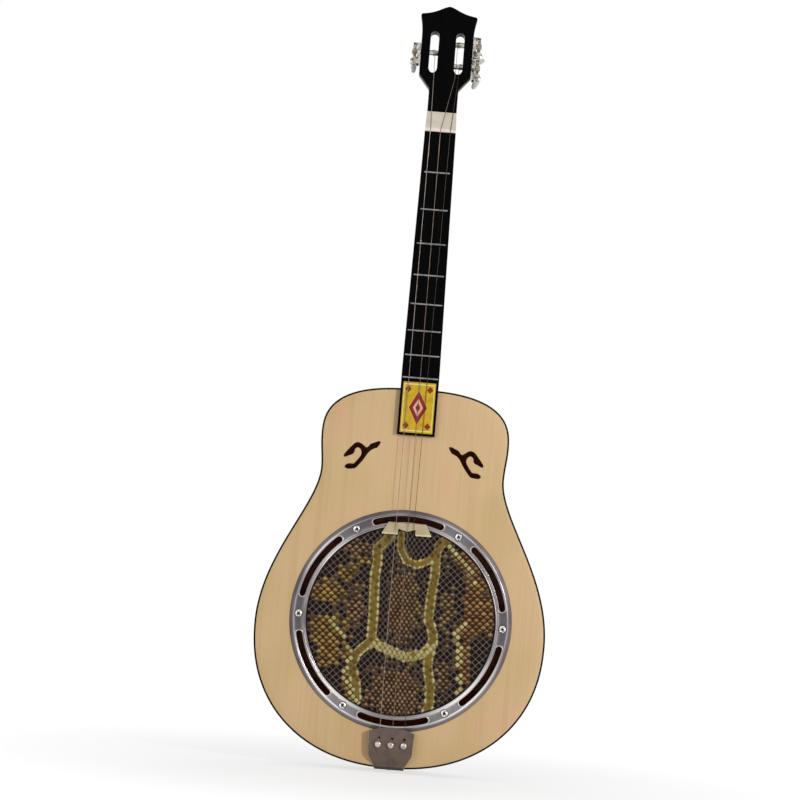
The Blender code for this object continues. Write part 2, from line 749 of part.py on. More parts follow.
def add_skin_and_ring(instrument):
    """The skin on its hoop, the slotted ring over its edge and the screws that hold the ring down."""
    skin_top = -SKIN_SINK
    skin_under = skin_top - SKIN_THICKNESS
    add("snake_skin", prism(circle(SKIN_RADIUS, RING_STEPS), skin_under, skin_top), "snake_skin", instrument)

    hoop_top = skin_under - GAP
    hoop_inner = SKIN_RADIUS - HOOP_WALL
    hoop = add(
        "skin_hoop",
        band(
            circle(SKIN_RADIUS, RING_STEPS, turn=math.pi / RING_STEPS),
            circle(hoop_inner, RING_STEPS, turn=math.pi / RING_STEPS),
            hoop_top - HOOP_DEPTH,
            hoop_top,
        ),
        "inner_wood",
        instrument,
    )
    screw_angles = [360.0 / RING_SCREWS * number for number in range(RING_SCREWS)]
    lug_top = -SOUNDBOARD_THICKNESS - GAP
    spider_out = []
    spider_in = []
    wall_out = SKIN_RADIUS - 0.25 * HOOP_WALL
    wall_in = SKIN_RADIUS - 0.70 * HOOP_WALL
    for angle in screw_angles:
        between = 180.0 / RING_SCREWS
        stops = (
            (-LUG_HALF_ANGLE, wall_out),
            (-LUG_HALF_ANGLE, SKIN_RADIUS + LUG_REACH),
            (0.0, SKIN_RADIUS + LUG_REACH),
            (LUG_HALF_ANGLE, SKIN_RADIUS + LUG_REACH),
            (LUG_HALF_ANGLE, wall_out),
            (0.5 * (LUG_HALF_ANGLE + between), wall_out),
            (between, wall_out),
            (2 * between - 0.5 * (LUG_HALF_ANGLE + between), wall_out),
        )
        for order, (offset, radius) in enumerate(stops):
            turn = math.radians(angle + offset)
            nudge = math.radians(0.3) * ((order == 4) - (order == 0))
            spider_out.append((radius * math.cos(turn + nudge), radius * math.sin(turn + nudge)))
            spider_in.append((wall_in * math.cos(turn + nudge), wall_in * math.sin(turn + nudge)))
    spider = helper("hoop_lugs", band(spider_out, spider_in, lug_top - LUG_THICKNESS, lug_top), instrument)
    boolean(hoop, spider, "UNION")

    ring = add("cover_ring", turned(ring_profile(), RING_STEPS), "nickel", instrument)
    for number in range(RING_SCREWS):
        middle = screw_angles[number] + 180.0 / RING_SCREWS
        slot = prism(slot_outline(middle), -CREST_HEIGHT, 2 * CREST_HEIGHT)
        boolean(ring, helper(f"ring_slot_{number + 1}", slot, instrument))
    seat = CHANNEL_LEVEL + GAP
    for number, angle in enumerate(screw_angles, 1):
        place = Matrix.Rotation(math.radians(angle), 4, "Z") @ Matrix.Translation(
            (SLOT_RADIUS, 0.0, seat)
        )
        add_screw(f"ring_screw_{number}", instrument, place, RING_SCREW_LENGTH)
        hole = screw_hole(f"ring_screw_hole_{number}", instrument, place, RING_SCREW_LENGTH)
        boolean(ring, hole)
        boolean(hoop, hole)


def neck_section(y, depth, squareness):
    """A loop across the neck: flat on top, and round to square underneath."""
    half = neck_half_width(y)
    steps = 12
    loop = []
    for step in range(steps + 1):
        angle = math.pi * step / steps
        cosine = math.cos(angle)
        x = half * math.copysign(abs(cosine) ** (2.0 / squareness), cosine)
        z = -depth * math.sin(angle) ** (2.0 / squareness) if 0 < step < steps else 0.0
        loop.append((x, y, z))
    return loop


def add_neck(instrument, rim, blocks):
    """The neck with its heel and tenon, the fingerboard, the frets, the panel and the nut."""
    heel_y = TOP_Y + GAP
    heel_swell = HEEL_DEPTH - NECK_DEPTH_LOW
    stations = (
        (heel_y, HEEL_DEPTH, 2.7),
        (heel_y + 0.14 * HEEL_RUN, NECK_DEPTH_LOW + 0.78 * heel_swell, 2.6),
        (heel_y + 0.37 * HEEL_RUN, NECK_DEPTH_LOW + 0.34 * heel_swell, 2.4),
        (heel_y + 0.64 * HEEL_RUN, NECK_DEPTH_LOW + 0.09 * heel_swell, 2.2),
        (heel_y + HEEL_RUN, NECK_DEPTH_LOW, 2.1),
        (NUT_Y - NUT_THINNING, NECK_DEPTH_HIGH, 2.1),
        (NUT_Y + 0.4 * NUT_THINNING, NECK_DEPTH_HIGH + 0.34 * (HEAD_THICKNESS - NECK_DEPTH_HIGH), 2.8),
    )
    sections = [neck_section(*station) for station in stations]
    flat_end = neck_section(NECK_END_Y, HEAD_THICKNESS, 7.0)
    sections.append([from_head(x, 0.0, z) for x, y, z in flat_end])
    neck = add("neck", loft(sections), "black_lacquer", instrument)
    half = TENON_WIDTH / 2
    tenon_end = TOP_Y - RIM_WALL - TENON_LENGTH
    span_z = (-TENON_TOP - TENON_DEPTH, -TENON_TOP)
    tenon = helper("neck_tenon", box((-half, half), (tenon_end, heel_y + TENON_ROOT), span_z), instrument)
    boolean(neck, tenon, "UNION")
    mortise = helper(
        "neck_mortise",
        box(
            (-half - GAP, half + GAP),
            (tenon_end - GAP, TOP_Y + TENON_ROOT),
            (span_z[0] - GAP, span_z[1] + GAP),
        ),
        instrument,
    )
    boolean(rim, mortise)
    boolean(blocks["neck_block"], mortise)

    top = GAP + FINGERBOARD_HEIGHT
    heights = (FINGERBOARD_END_Y, TAPER_START_Y, NUT_Y)
    outline = [(neck_half_width(y), y) for y in heights]
    outline += [(-neck_half_width(y), y) for y in reversed(heights)]
    fingerboard = add("fingerboard", prism(outline, GAP, top), "black_lacquer", instrument, smooth=False)
    for number in range(1, FRETS + 1):
        fret_y = NUT_Y - FIRST_FRET_STEP * (1 - FRET_RATIO**number) / (1 - FRET_RATIO)
        share = (number - 1) / max(FRETS - 1, 1)
        inset = FIRST_FRET_INSET + share * (LAST_FRET_INSET - FIRST_FRET_INSET)
        fret_half = neck_half_width(fret_y) - inset
        wide = FRET_WIDTH / 2
        tang = FRET_TANG_WIDTH / 2
        foot = top + GAP
        profile = [
            (-tang, foot - FRET_TANG_DEPTH),
            (tang, foot - FRET_TANG_DEPTH),
            (tang, foot),
            (wide, foot),
            (wide * 0.80, foot + FRET_HEIGHT * 0.65),
            (wide * 0.35, foot + FRET_HEIGHT),
            (-wide * 0.35, foot + FRET_HEIGHT),
            (-wide * 0.80, foot + FRET_HEIGHT * 0.65),
            (-wide, foot),
            (-tang, foot),
        ]
        ends = [[(x, fret_y + across, z) for across, z in profile] for x in (-fret_half, fret_half)]
        add(f"fret_{number}", loft(ends), "fret_wire", instrument)
        slot = box(
            (-fret_half - GAP, fret_half + GAP),
            (fret_y - tang - GAP, fret_y + tang + GAP),
            (foot - FRET_TANG_DEPTH - GAP, top + FRET_HEIGHT),
        )
        boolean(fingerboard, helper(f"fret_slot_{number}", slot, instrument))

    panel_low = FINGERBOARD_END_Y + PANEL_MARGIN
    panel_high = panel_low + PANEL_LENGTH
    panel = [(neck_half_width(y) - PANEL_MARGIN, y) for y in (panel_low, panel_high)]
    panel += [(-x, y) for x, y in reversed(panel)]
    panel_z = top + GAP
    add("finger_panel", prism(panel, panel_z, panel_z + PANEL_THICKNESS), "yellow_panel", instrument)

    nut_low = NUT_Y + GAP
    nut_profile = (
        (nut_low, GAP),
        (nut_low, NUT_HEIGHT - NUT_EDGE),
        (nut_low + NUT_EDGE, NUT_HEIGHT),
        (nut_low + NUT_LIP, NUT_HEIGHT),
        (NECK_END_Y - GAP, NUT_LOW_HEIGHT),
        (NECK_END_Y - GAP, GAP),
    )
    sides = [[(side * neck_half_width(y), y, z) for y, z in nut_profile] for side in (-1, 1)]
    return add("nut", loft(sides), "bone", instrument, smooth=False)


def head_outline():
    """Outline of the peghead: narrow at the neck, sloping shoulders, straight sides, bracket-shaped top."""
    neck = NECK_END_WIDTH / 2
    side = HEAD_WIDTH / 2
    top = HEAD_TOP_WIDTH / 2
    half = [
        (neck, GAP),
        (neck, SHOULDER_Y - SHOULDER_EASE),
        (neck + 0.35 * SHOULDER_EASE, SHOULDER_Y),
        (side - 0.55 * SHOULDER_EASE, SHOULDER_Y + SHOULDER_RISE - 0.1 * SHOULDER_EASE),
        (side, SHOULDER_Y + SHOULDER_RISE + 1.1 * SHOULDER_EASE),
        (side, HEAD_FLARE_Y),
    ]
    flare_end = HEAD_CORNER_Y - HEAD_CORNER_RADIUS
    for share in (0.35, 0.7):
        rise = HEAD_FLARE_Y + share * (flare_end - HEAD_FLARE_Y)
        half.append((side + share * share * (top - side), rise))
    for step in range(5):
        angle = 0.5 * math.pi * step / 4
        half.append(
            (
                top - HEAD_CORNER_RADIUS * (1 - math.cos(angle)),
                flare_end + HEAD_CORNER_RADIUS * math.sin(angle),
            )
        )
    reach = top - HEAD_CORNER_RADIUS
    steps = 9
    for step in range(1, steps + 1):
        across = step / steps
        share = across**OGEE_SKEW
        curve = share * share * (3 - 2 * share)
        rise = OGEE_RISE * (OGEE_SLANT * across + (1 - OGEE_SLANT) * curve)
        half.append((reach * (1 - across), HEAD_CORNER_Y + rise))
    return half + [(-x, y) for x, y in reversed(half[:-1])]


def add_peghead(instrument, head):
    """The peghead with its two slots, the ramps that lead the strings in and the bores for the rollers."""
    peghead = add("peghead", prism(head_outline(), -HEAD_THICKNESS, 0.0), "black_lacquer", head)
    half_slot = HEAD_SLOT_WIDTH / 2
    for name, side in (("left", -1), ("right", 1)):
        centre = side * HEAD_SLOT_X
        outline = []
        for step in range(9):
            angle = math.pi * step / 8
            outline.append(
                (
                    centre + half_slot * math.cos(angle),
                    HEAD_SLOT_HIGH - half_slot + half_slot * math.sin(angle),
                )
            )
        for step in range(9):
            angle = math.pi + math.pi * step / 8
            outline.append(
                (
                    centre + half_slot * math.cos(angle),
                    HEAD_SLOT_LOW + half_slot + half_slot * math.sin(angle),
                )
            )
        slot = prism(outline, -1.3 * HEAD_THICKNESS, 0.3 * HEAD_THICKNESS)
        slot = helper(f"head_slot_{name}", slot, head)
        boolean(peghead, slot)
        wide = RAMP_WIDTH / 2
        ramp_start = HEAD_SLOT_LOW - RAMP_LENGTH
        ramp_end = HEAD_SLOT_LOW + half_slot
        end_depth = RAMP_DEPTH * (ramp_end - ramp_start) / RAMP_LENGTH
        lid = 2 * RAMP_DEPTH
        wedge = [(ramp_start, 0.0), (ramp_start, lid), (ramp_end, lid), (ramp_end, -end_depth)]
        ends = [[(centre + x, y, z) for y, z in wedge] for x in (-wide, wide)]
        boolean(peghead, helper(f"slot_ramp_{name}", loft(ends), head))
    for number, (side, height, _) in enumerate(TUNERS, 1):
        inner_end = HEAD_SLOT_X - half_slot - ROLLER_SEAT_DEPTH - GAP
        reach = HEAD_WIDTH / 2 + PLATE_THICKNESS - inner_end
        centre_x = side * (inner_end + reach / 2)
        bore = prism(circle(ROLLER_RADIUS + RUNNING_GAP, 20), -reach / 2, reach / 2)
        bore = moved(bore, Matrix.Rotation(math.radians(90.0), 4, "Y"))
        place = (centre_x, height, -HEAD_THICKNESS / 2)
        boolean(peghead, helper(f"roller_bore_{number}", bore, head, place))
    return peghead


def gear_shape():
    """The wheel about the X axis: slanted teeth, centred on its middle plane, one tooth towards -Y."""
    pitch_radius = GEAR_TEETH * WORM_PITCH / (2.0 * math.pi)
    tip = pitch_radius + TOOTH_ADDENDUM
    root = pitch_radius - TOOTH_DEDENDUM
    slant = WORM_PITCH / (2.0 * math.pi * WORM_PITCH_RADIUS) / pitch_radius
    sections = []
    for out in (-GEAR_THICKNESS / 2, GEAR_THICKNESS / 2):
        loop = []
        for tooth in range(GEAR_TEETH):
            middle = math.pi + 2.0 * math.pi * tooth / GEAR_TEETH + slant * out
            for radius, offset in (
                (root, -0.5 * TOOTH_ROOT / root),
                (tip, -0.5 * TOOTH_TIP / tip),
                (tip, 0.5 * TOOTH_TIP / tip),
                (root, 0.5 * TOOTH_ROOT / root),
            ):
                angle = middle + offset
                loop.append((out, radius * math.cos(angle), radius * math.sin(angle)))
        sections.append(loop)
    return loft(sections)


def worm_height(phase):
    """Share of the flat-topped thread's height at this phase, which runs from 0 to 1 over one pitch."""
    distance = abs(phase - 0.5) * WORM_PITCH
    tip = TOOTH_TIP / 2
    root = TOOTH_ROOT / 2
    return min(max((root - distance) / (root - tip), 0.0), 1.0)


def worm_shape():
    """The worm and its shaft about Z, in one skin: the radius follows the thread round and along."""
    steps = 12
    plate_half = PLATE_HEIGHT / 2
    thread_end = plate_half - PLATE_THICKNESS - 2 * RUNNING_GAP
    root = WORM_PITCH_RADIUS - TOOTH_DEDENDUM
    tip = WORM_PITCH_RADIUS + TOOTH_ADDENDUM
    rows = []
    cap_seat = plate_half + RUNNING_GAP
    button_top = -HEAD_THICKNESS / 2 - BUTTON_STANDOFF
    for radius, height in (
        (SHAFT_RADIUS, button_top - 0.6 * BUTTON_LENGTH),
        (SHAFT_RADIUS, -thread_end),
        (root, -thread_end),
    ):
        rows.append([(x, y, height) for x, y in circle(radius, steps)])
    thread_steps = max(int(round(2 * thread_end / WORM_PITCH * THREAD_ROWS)), THREAD_ROWS)
    for row in range(thread_steps + 1):
        height = (thread_end - 0.2 * THREAD_END_TAPER) * (2.0 * row / thread_steps - 1.0)
        fade = min((thread_end - abs(height)) / THREAD_END_TAPER, 1.0)
        loop = []
        for step in range(steps):
            angle = 2.0 * math.pi * step / steps
            phase = (height / WORM_PITCH - (angle - 0.5 * math.pi) / (2.0 * math.pi)) % 1.0
            radius = root + (tip - root) * worm_height(phase) * fade
            loop.append((radius * math.cos(angle), radius * math.sin(angle), height))
        rows.append(loop)
    for radius, height in (
        (root, thread_end),
        (SHAFT_RADIUS, thread_end),
        (SHAFT_RADIUS, cap_seat),
        (SHAFT_CAP_RADIUS, cap_seat),
        (SHAFT_CAP_RADIUS, cap_seat + SHAFT_CAP_HEIGHT * 0.5),
        (SHAFT_CAP_RADIUS * 0.6, cap_seat + SHAFT_CAP_HEIGHT),
    ):
        rows.append([(x, y, height) for x, y in circle(radius, steps)])
    return loft(rows)


def button_shape(turn):
    """An oval button on the shaft's end: its section swells and flattens, its neck holds the shaft."""
    top = -HEAD_THICKNESS / 2 - BUTTON_STANDOFF
    stations = (
        (0.000, 0.30, 0.62),
        (0.170, 0.42, 0.80),
        (0.280, 0.80, 0.92),
        (0.420, 1.00, 1.00),
        (0.650, 0.98, 1.00),
        (0.830, 0.80, 0.90),
        (0.950, 0.50, 0.66),
        (1.000, 0.22, 0.30),
    )
    sections = []
    for share, wide, thick in stations:
        loop = []
        for x, y in circle(0.5, 14):
            height = top - share * BUTTON_LENGTH
            loop.append((x * wide * BUTTON_WIDTH, y * thick * BUTTON_THICKNESS, height))
        sections.append(loop)
    return moved(loft(sections), Matrix.Rotation(math.radians(turn), 4, "Z"))


def roller_shape():
    """The roller about X, from its seat in the head's web to the cap that holds the wheel on."""
    inner = -(HEAD_WIDTH / 2 - HEAD_SLOT_X + HEAD_SLOT_WIDTH / 2 + ROLLER_SEAT_DEPTH)
    shoulder = GEAR_OUT - GEAR_THICKNESS / 2 - RUNNING_GAP
    cap = GEAR_OUT + GEAR_THICKNESS / 2 + RUNNING_GAP
    profile = [
        (0.0, inner),
        (ROLLER_RADIUS, inner),
        (ROLLER_RADIUS, shoulder),
        (ROLLER_SPIGOT_RADIUS, shoulder),
        (ROLLER_SPIGOT_RADIUS, cap),
        (ROLLER_CAP_RADIUS, cap),
        (ROLLER_CAP_RADIUS * 0.7, cap + ROLLER_CAP_HEIGHT),
        (0.0, cap + ROLLER_CAP_HEIGHT),
    ]
    return moved(turned(profile, 12), Matrix.Rotation(math.radians(90.0), 4, "Y"))


def plate_parts(worm_y):
    """The bracket in overlapping shapes: side plate, end flange, and folded rails with their ears."""
    half = PLATE_HEIGHT / 2
    ear = EAR_WIDTH / 2
    plate_low = worm_y - ear
    side_plate = box((GAP, GAP + PLATE_THICKNESS), (plate_low, PLATE_ABOVE), (-half, half))
    rail_top = PLATE_ABOVE - PLATE_THICKNESS / 2
    flange_y = (PLATE_ABOVE - PLATE_THICKNESS, PLATE_ABOVE)
    flange = box((GAP, FLANGE_OUT), flange_y, (GAP - half, half - GAP))
    rail = [(GAP, plate_low), (GEAR_OUT, plate_low)]
    for step in range(1, 7):
        angle = -0.5 * math.pi + math.pi * step / 7
        rail.append((GEAR_OUT + ear * math.cos(angle), worm_y + ear * math.sin(angle)))
    rail += [(GEAR_OUT, worm_y + ear), (RAIL_OUT, worm_y + ear), (RAIL_OUT, rail_top), (GAP, rail_top)]
    rails = [prism(rail, half - PLATE_THICKNESS, half), prism(rail, -half, PLATE_THICKNESS - half)]
    return side_plate, flange, rails


def add_tuner(head, number, side, height, turn):
    """One worm-and-wheel tuner, drawn for the right side about the wheel's centre on the head's side."""
    pitch_radius = GEAR_TEETH * WORM_PITCH / (2.0 * math.pi)
    worm_y = -(pitch_radius + WORM_PITCH_RADIUS + MESH_CLEARANCE)
    place = (side * HEAD_WIDTH / 2, height, -HEAD_THICKNESS / 2)
    frame = empty(f"tuner_{number}_frame", head, place)
    worm_axis = empty(f"worm_{number}_axis", frame, (side * GEAR_OUT, worm_y, 0.0))

    side_plate, flange, rails = plate_parts(worm_y)
    plate = add(f"tuner_plate_{number}", mirrored(side_plate, side), "nickel", frame, smooth=False)
    for name, shape in (("flange", flange), ("front_rail", rails[0]), ("back_rail", rails[1])):
        boolean(plate, helper(f"tuner_{name}_{number}", mirrored(shape, side), frame), "UNION")
    roller_hole = prism(circle(ROLLER_RADIUS + RUNNING_GAP, 16), -PLATE_THICKNESS, 3 * PLATE_THICKNESS)
    roller_hole = mirrored(moved(roller_hole, Matrix.Rotation(math.radians(90.0), 4, "Y")), side)
    boolean(plate, helper(f"plate_roller_hole_{number}", roller_hole, frame))
    shaft_hole = prism(circle(SHAFT_RADIUS + RUNNING_GAP, 12), -PLATE_HEIGHT, PLATE_HEIGHT)
    boolean(plate, helper(f"plate_shaft_hole_{number}", shaft_hole, worm_axis))

    gear = add(
        f"tuner_gear_{number}",
        mirrored(gear_shape(), side),
        "brass_wheel",
        frame,
        (side * GEAR_OUT, 0.0, 0.0),
        smooth=False,
    )
    bore = prism(circle(ROLLER_SPIGOT_RADIUS + GAP, 12), -GEAR_THICKNESS, GEAR_THICKNESS)
    bore = moved(bore, Matrix.Rotation(math.radians(90.0), 4, "Y"))
    boolean(gear, helper(f"gear_bore_{number}", bore, frame, (side * GEAR_OUT, 0.0, 0.0)))
    add(f"string_roller_{number}", mirrored(roller_shape(), side), "nickel", frame)

    add(f"tuner_worm_{number}", mirrored(worm_shape(), side), "nickel", worm_axis)
    button = add(f"tuner_button_{number}", button_shape(turn), "pearl_button", worm_axis)
    top = -HEAD_THICKNESS / 2 - BUTTON_STANDOFF
    socket = prism(circle(SHAFT_RADIUS + GAP, 12), top - 0.6 * BUTTON_LENGTH - GAP, top + BUTTON_STANDOFF)
    boolean(button, helper(f"button_socket_{number}", socket, worm_axis))


def bridge_tilt():
    """The angle at which the lying bridge's foot is on the skin and its string edge on the ring's bead."""
    corner = 0.5 * BRIDGE_TOP_WIDTH + 0.12 * (BRIDGE_FOOT_WIDTH - BRIDGE_TOP_WIDTH) + abs(BRIDGE_X)
    bead_y = math.sqrt(BEAD_RADIUS**2 - corner**2)
    return math.atan2(BEAD_HEIGHT + GAP, bead_y - BRIDGE_FOOT_Y)


def string_height():
    """Height of the strings' centres over the face, from the lying bridge to the tailpiece."""
    tilt = bridge_tilt()
    bridge_top = BRIDGE_HEIGHT * math.sin(tilt) + BRIDGE_TOP_THICKNESS * math.cos(tilt)
    return bridge_top + STRING_CLEARANCE + WOUND_STRING / 2


def tailpiece_level():
    """Height of the tailpiece's flat top, whose front edge passes over the strings."""
    return string_height() + WOUND_STRING / 2 + STRING_CLEARANCE + TAILPIECE_SHEET


def string_loop(number):
    """The string's end, bent most of the way round its pin and rising a little as it goes."""
    diameter = STRINGS[number - 1][0]
    pin_x = (number - 2) * PIN_SPACING
    loop_radius = PIN_RADIUS + GAP + diameter / 2 + LOOP_CLEARANCE
    low = tailpiece_level() + GAP + diameter / 2 + LOOP_LIFT
    route = []
    for step in range(LOOP_STEPS + 1):
        angle = math.radians(30.0 - 27.0 * step)
        height = low + LOOP_RISE * step / LOOP_STEPS
        route.append((pin_x + loop_radius * math.cos(angle), PIN_Y + loop_radius * math.sin(angle), height))
    return route


def string_run(number):
    """Hand-chosen points from the pin, down the tail hole, over bridge and nut, to the slot's mouth."""
    diameter, tail_x, bridge_x, nut_x, mouth_x, _ = STRINGS[number - 1]
    pin_x = (number - 2) * PIN_SPACING
    plate_top = tailpiece_level() + GAP
    nut_seat = NUT_HEIGHT + diameter / 2 - STRING_SINK
    return [
        (0.5 * (pin_x + tail_x) - 0.0006, 0.55 * TAIL_HOLE_Y + 0.45 * PIN_Y, plate_top + 0.0012),
        (tail_x, TAIL_HOLE_Y - 0.0004, plate_top + 0.0002),
        (tail_x, TAIL_HOLE_Y + 0.0004, tailpiece_level() - TAILPIECE_SHEET),
        (tail_x, TAIL_HOLE_Y + 0.0034, string_height()),
        (bridge_x, BRIDGE_FOOT_Y + BRIDGE_HEIGHT * 0.7, string_height()),
        (nut_x, NUT_Y + GAP, nut_seat),
        (nut_x, NUT_Y + GAP + NUT_LIP, nut_seat),
        from_head(mouth_x, SLOT_MOUTH_Y, SLOT_MOUTH_HEIGHT),
    ]


def string_winding(number):
    """The string's turns about its roller, moving outwards by one pitch in each turn."""
    diameter, roller_x = STRINGS[number - 1][0], STRINGS[number - 1][-1]
    side, roller_y, _ = TUNERS[number - 1]
    wound = ROLLER_RADIUS + GAP + diameter / 2
    route = []
    for step in range(round(24 * WINDING_TURNS) + 1):
        turn = 2.0 * math.pi * step / 24
        x = roller_x + side * WINDING_PITCH * step / 24
        y = roller_y + wound * math.sin(turn)
        route.append(from_head(x, y, wound * math.cos(turn) - HEAD_THICKNESS / 2))
    return route


def add_strings(instrument, nut):
    """The three strings, and the grooves that they lie in across the nut."""
    reach = NECK_END_Y - NUT_Y
    for number, string in enumerate(STRINGS, 1):
        radius = string[0] / 2
        run = string_run(number)
        route = string_loop(number) + run + string_winding(number)
        add(f"string_{number}", tube(route, radius, 6), "string_steel", instrument)
        before, first, last, after = [Vector(point) for point in run[-4:]]
        start = first + (before - first).normalized() * reach
        end = last + (after - last).normalized() * 1.5 * reach
        cutter = tube([start, first, last, end], radius + GAP, 8)
        boolean(nut, helper(f"nut_groove_{number}", cutter, instrument))


def add_bridge(instrument):
    """The loose bridge: a tapered plate with a bracket-shaped arch between its feet, drawn lying down."""
    foot = BRIDGE_FOOT_WIDTH / 2
    top = BRIDGE_TOP_WIDTH / 2
    toe = (foot + 0.05 * (top - foot), 0.08 * BRIDGE_HEIGHT)
    half = [(top, BRIDGE_HEIGHT), toe, (foot, 0.0)]
    half += [(across * foot, up * BRIDGE_HEIGHT) for across, up in BRIDGE_ARCH]
    outline = half + [(-x, y) for x, y in reversed(half[:-1])]
    under = [(x, y, 0.0) for x, y in outline]
    over = []
    for x, y in outline:
        share = y / BRIDGE_HEIGHT
        over.append((x, y, BRIDGE_FOOT_THICKNESS + share * (BRIDGE_TOP_THICKNESS - BRIDGE_FOOT_THICKNESS)))
    place = (BRIDGE_X, BRIDGE_FOOT_Y, GAP - SKIN_SINK)
    bridge = add("bridge", loft([under, over]), "bone", instrument, place, smooth=False)
    bridge.rotation_euler = (bridge_tilt(), 0.0, 0.0)


def tailpiece_stations():
    """The tailpiece's upper side from its front edge to the end of its flange, as (y, z, half width)."""
    edge_y = TAIL_Y - GAP - TAILPIECE_SHEET
    slope_y = TAIL_Y + TAILPIECE_EDGE_RUN
    kink_y = TAILPIECE_FRONT_Y - TAILPIECE_KINK
    low_z = TAILPIECE_SHEET + GAP
    level = tailpiece_level()
    front = TAILPIECE_FRONT_WIDTH / 2
    kink = TAILPIECE_KINK_WIDTH / 2
    edge = TAILPIECE_EDGE_WIDTH / 2
    return (
        (TAILPIECE_FRONT_Y, level, front),
        (TAILPIECE_FRONT_Y - TAILPIECE_BEND, level, kink + 0.28 * (front - kink)),
        (kink_y, level - TAILPIECE_KINK_DROP, kink),
        (0.5 * (kink_y + slope_y), 0.48 * level + 0.5 * low_z, 0.6 * kink + 0.4 * edge),
        (slope_y, low_z + GAP, kink + 0.82 * (edge - kink)),
        (edge_y + 0.75 * TAILPIECE_TURN, low_z, edge),
        (edge_y, low_z - TAILPIECE_TURN, edge),
        (edge_y, -TAILPIECE_DROP, edge),
    )


def add_tailpiece(instrument, rim, blocks):
    """The bent sheet that anchors the strings, its hook pins and the screws in its flange."""
    stations = tailpiece_stations()
    columns = (-1.0, -0.5, 0.0, 0.5, 1.0)
    over = []
    under = []
    for order, (y, z, half) in enumerate(stations):
        before = stations[max(order - 1, 0)]
        after = stations[min(order + 1, len(stations) - 1)]
        along = Vector((0.0, after[0] - before[0], after[1] - before[1])).normalized()
        down = Vector((0.0, -along.z, along.y)) * TAILPIECE_SHEET
        row_over = []
        row_under = []
        for column in columns:
            bow = TAILPIECE_FRONT_BOW * (1 - column * column) * (order == 0)
            top = Vector((column * half, y + bow, z))
            row_over.append(top)
            row_under.append(top + down)
        over.append(row_over)
        under.append(row_under)
    sections = [row_over + list(reversed(row_under)) for row_over, row_under in zip(over, under)]
    tailpiece = add("tailpiece", loft(sections), "bronzed_tin", instrument)
    for name, side in (("left", -1), ("right", 1)):
        walls = []
        for y, z, half in stations[:4]:
            out = side * (half - GAP)
            inside = side * (half - TAILPIECE_SHEET)
            high = z - 0.5 * TAILPIECE_SHEET
            walls.append([(out, y, GAP), (out, y, high), (inside, y, high), (inside, y, GAP)])
        boolean(tailpiece, helper(f"tailpiece_wall_{name}", loft(walls), instrument), "UNION")

    level = tailpiece_level()
    for number, string in enumerate(STRINGS, 1):
        hole = circle(TAIL_HOLE_RADIUS, 12, (string[1], TAIL_HOLE_Y), HALF_STEP)
        hole = prism(hole, level - 5 * TAILPIECE_SHEET, level + 5 * TAILPIECE_SHEET)
        boolean(tailpiece, helper(f"tail_hole_{number}", hole, instrument))
        pin_x = (number - 2) * PIN_SPACING
        base = level - TAILPIECE_SHEET - GAP
        top = level + PIN_HEIGHT
        profile = [
            (0.0, base - PIN_FOOT_HEIGHT),
            (PIN_RADIUS + PIN_FOOT_WIDTH, base - PIN_FOOT_HEIGHT),
            (PIN_RADIUS + PIN_FOOT_WIDTH, base),
            (PIN_RADIUS, base),
            (PIN_RADIUS, top - PIN_HEAD_HEIGHT),
            (PIN_HEAD_RADIUS, top - 0.7 * PIN_HEAD_HEIGHT),
            (PIN_HEAD_RADIUS * 0.85, top - 0.2 * PIN_HEAD_HEIGHT),
            (PIN_HEAD_RADIUS * 0.40, top),
            (0.0, top),
        ]
        add(f"string_pin_{number}", turned(profile, 12), "nickel", instrument, (pin_x, PIN_Y, 0.0))
        pin_hole = circle(PIN_RADIUS + GAP, 12, (pin_x, PIN_Y), HALF_STEP)
        pin_hole = prism(pin_hole, level - 5 * TAILPIECE_SHEET, level + 5 * TAILPIECE_SHEET)
        boolean(tailpiece, helper(f"pin_hole_{number}", pin_hole, instrument))

    face_y = TAIL_Y - 2 * GAP - TAILPIECE_SHEET
    for number, depth in enumerate((TAIL_SCREW_HIGH, TAIL_SCREW_LOW), 1):
        place = Matrix.Translation((0.0, face_y, -depth)) @ Matrix.Rotation(math.radians(90.0), 4, "X")
        add_screw(f"tail_screw_{number}", instrument, place, TAIL_SCREW_LENGTH)
        hole = screw_hole(f"tail_screw_hole_{number}", instrument, place, TAIL_SCREW_LENGTH)
        boolean(tailpiece, hole)
        boolean(rim, hole)
        boolean(blocks["tail_block"], hole)


def main():
    clear_scene()
    # The outer empty turns the face frame upright, and puts the hanger point at the world's origin.
    instrument = empty("instrument", None, (0.0, HANGER_Z, -HANGER_Y), 90.0)
    head = empty("head_frame", instrument, (0.0, NECK_END_Y, 0.0), -HEAD_LEAN)
    rim, blocks = add_box(instrument)
    add_skin_and_ring(instrument)
    nut = add_neck(instrument, rim, blocks)
    add_peghead(instrument, head)
    for number, (side, height, turn) in enumerate(TUNERS, 1):
        add_tuner(head, number, side, height, turn)
    add_tailpiece(instrument, rim, blocks)
    add_bridge(instrument)
    add_strings(instrument, nut)
    bpy.context.view_layer.update()


main()
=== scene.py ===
# The looks of a qinqin: a waisted sound box with a snakeskin head in a slotted nickel ring, a lacquered
# neck and peghead, three machine heads, and three strings from a bronzed tailpiece.
#
# Shapes are worked out in the face frame, which is +X to the right as seen from the front, +Y up the neck and
# +Z out of the soundboard, with its origin at the centre of the skin. The peghead and its machine heads use
# the head frame, which starts at the end of the neck and leans back. Both end up in the row frame.

import json
import math

import bmesh
import bpy
import numpy as np
from mathutils import Matrix, Vector

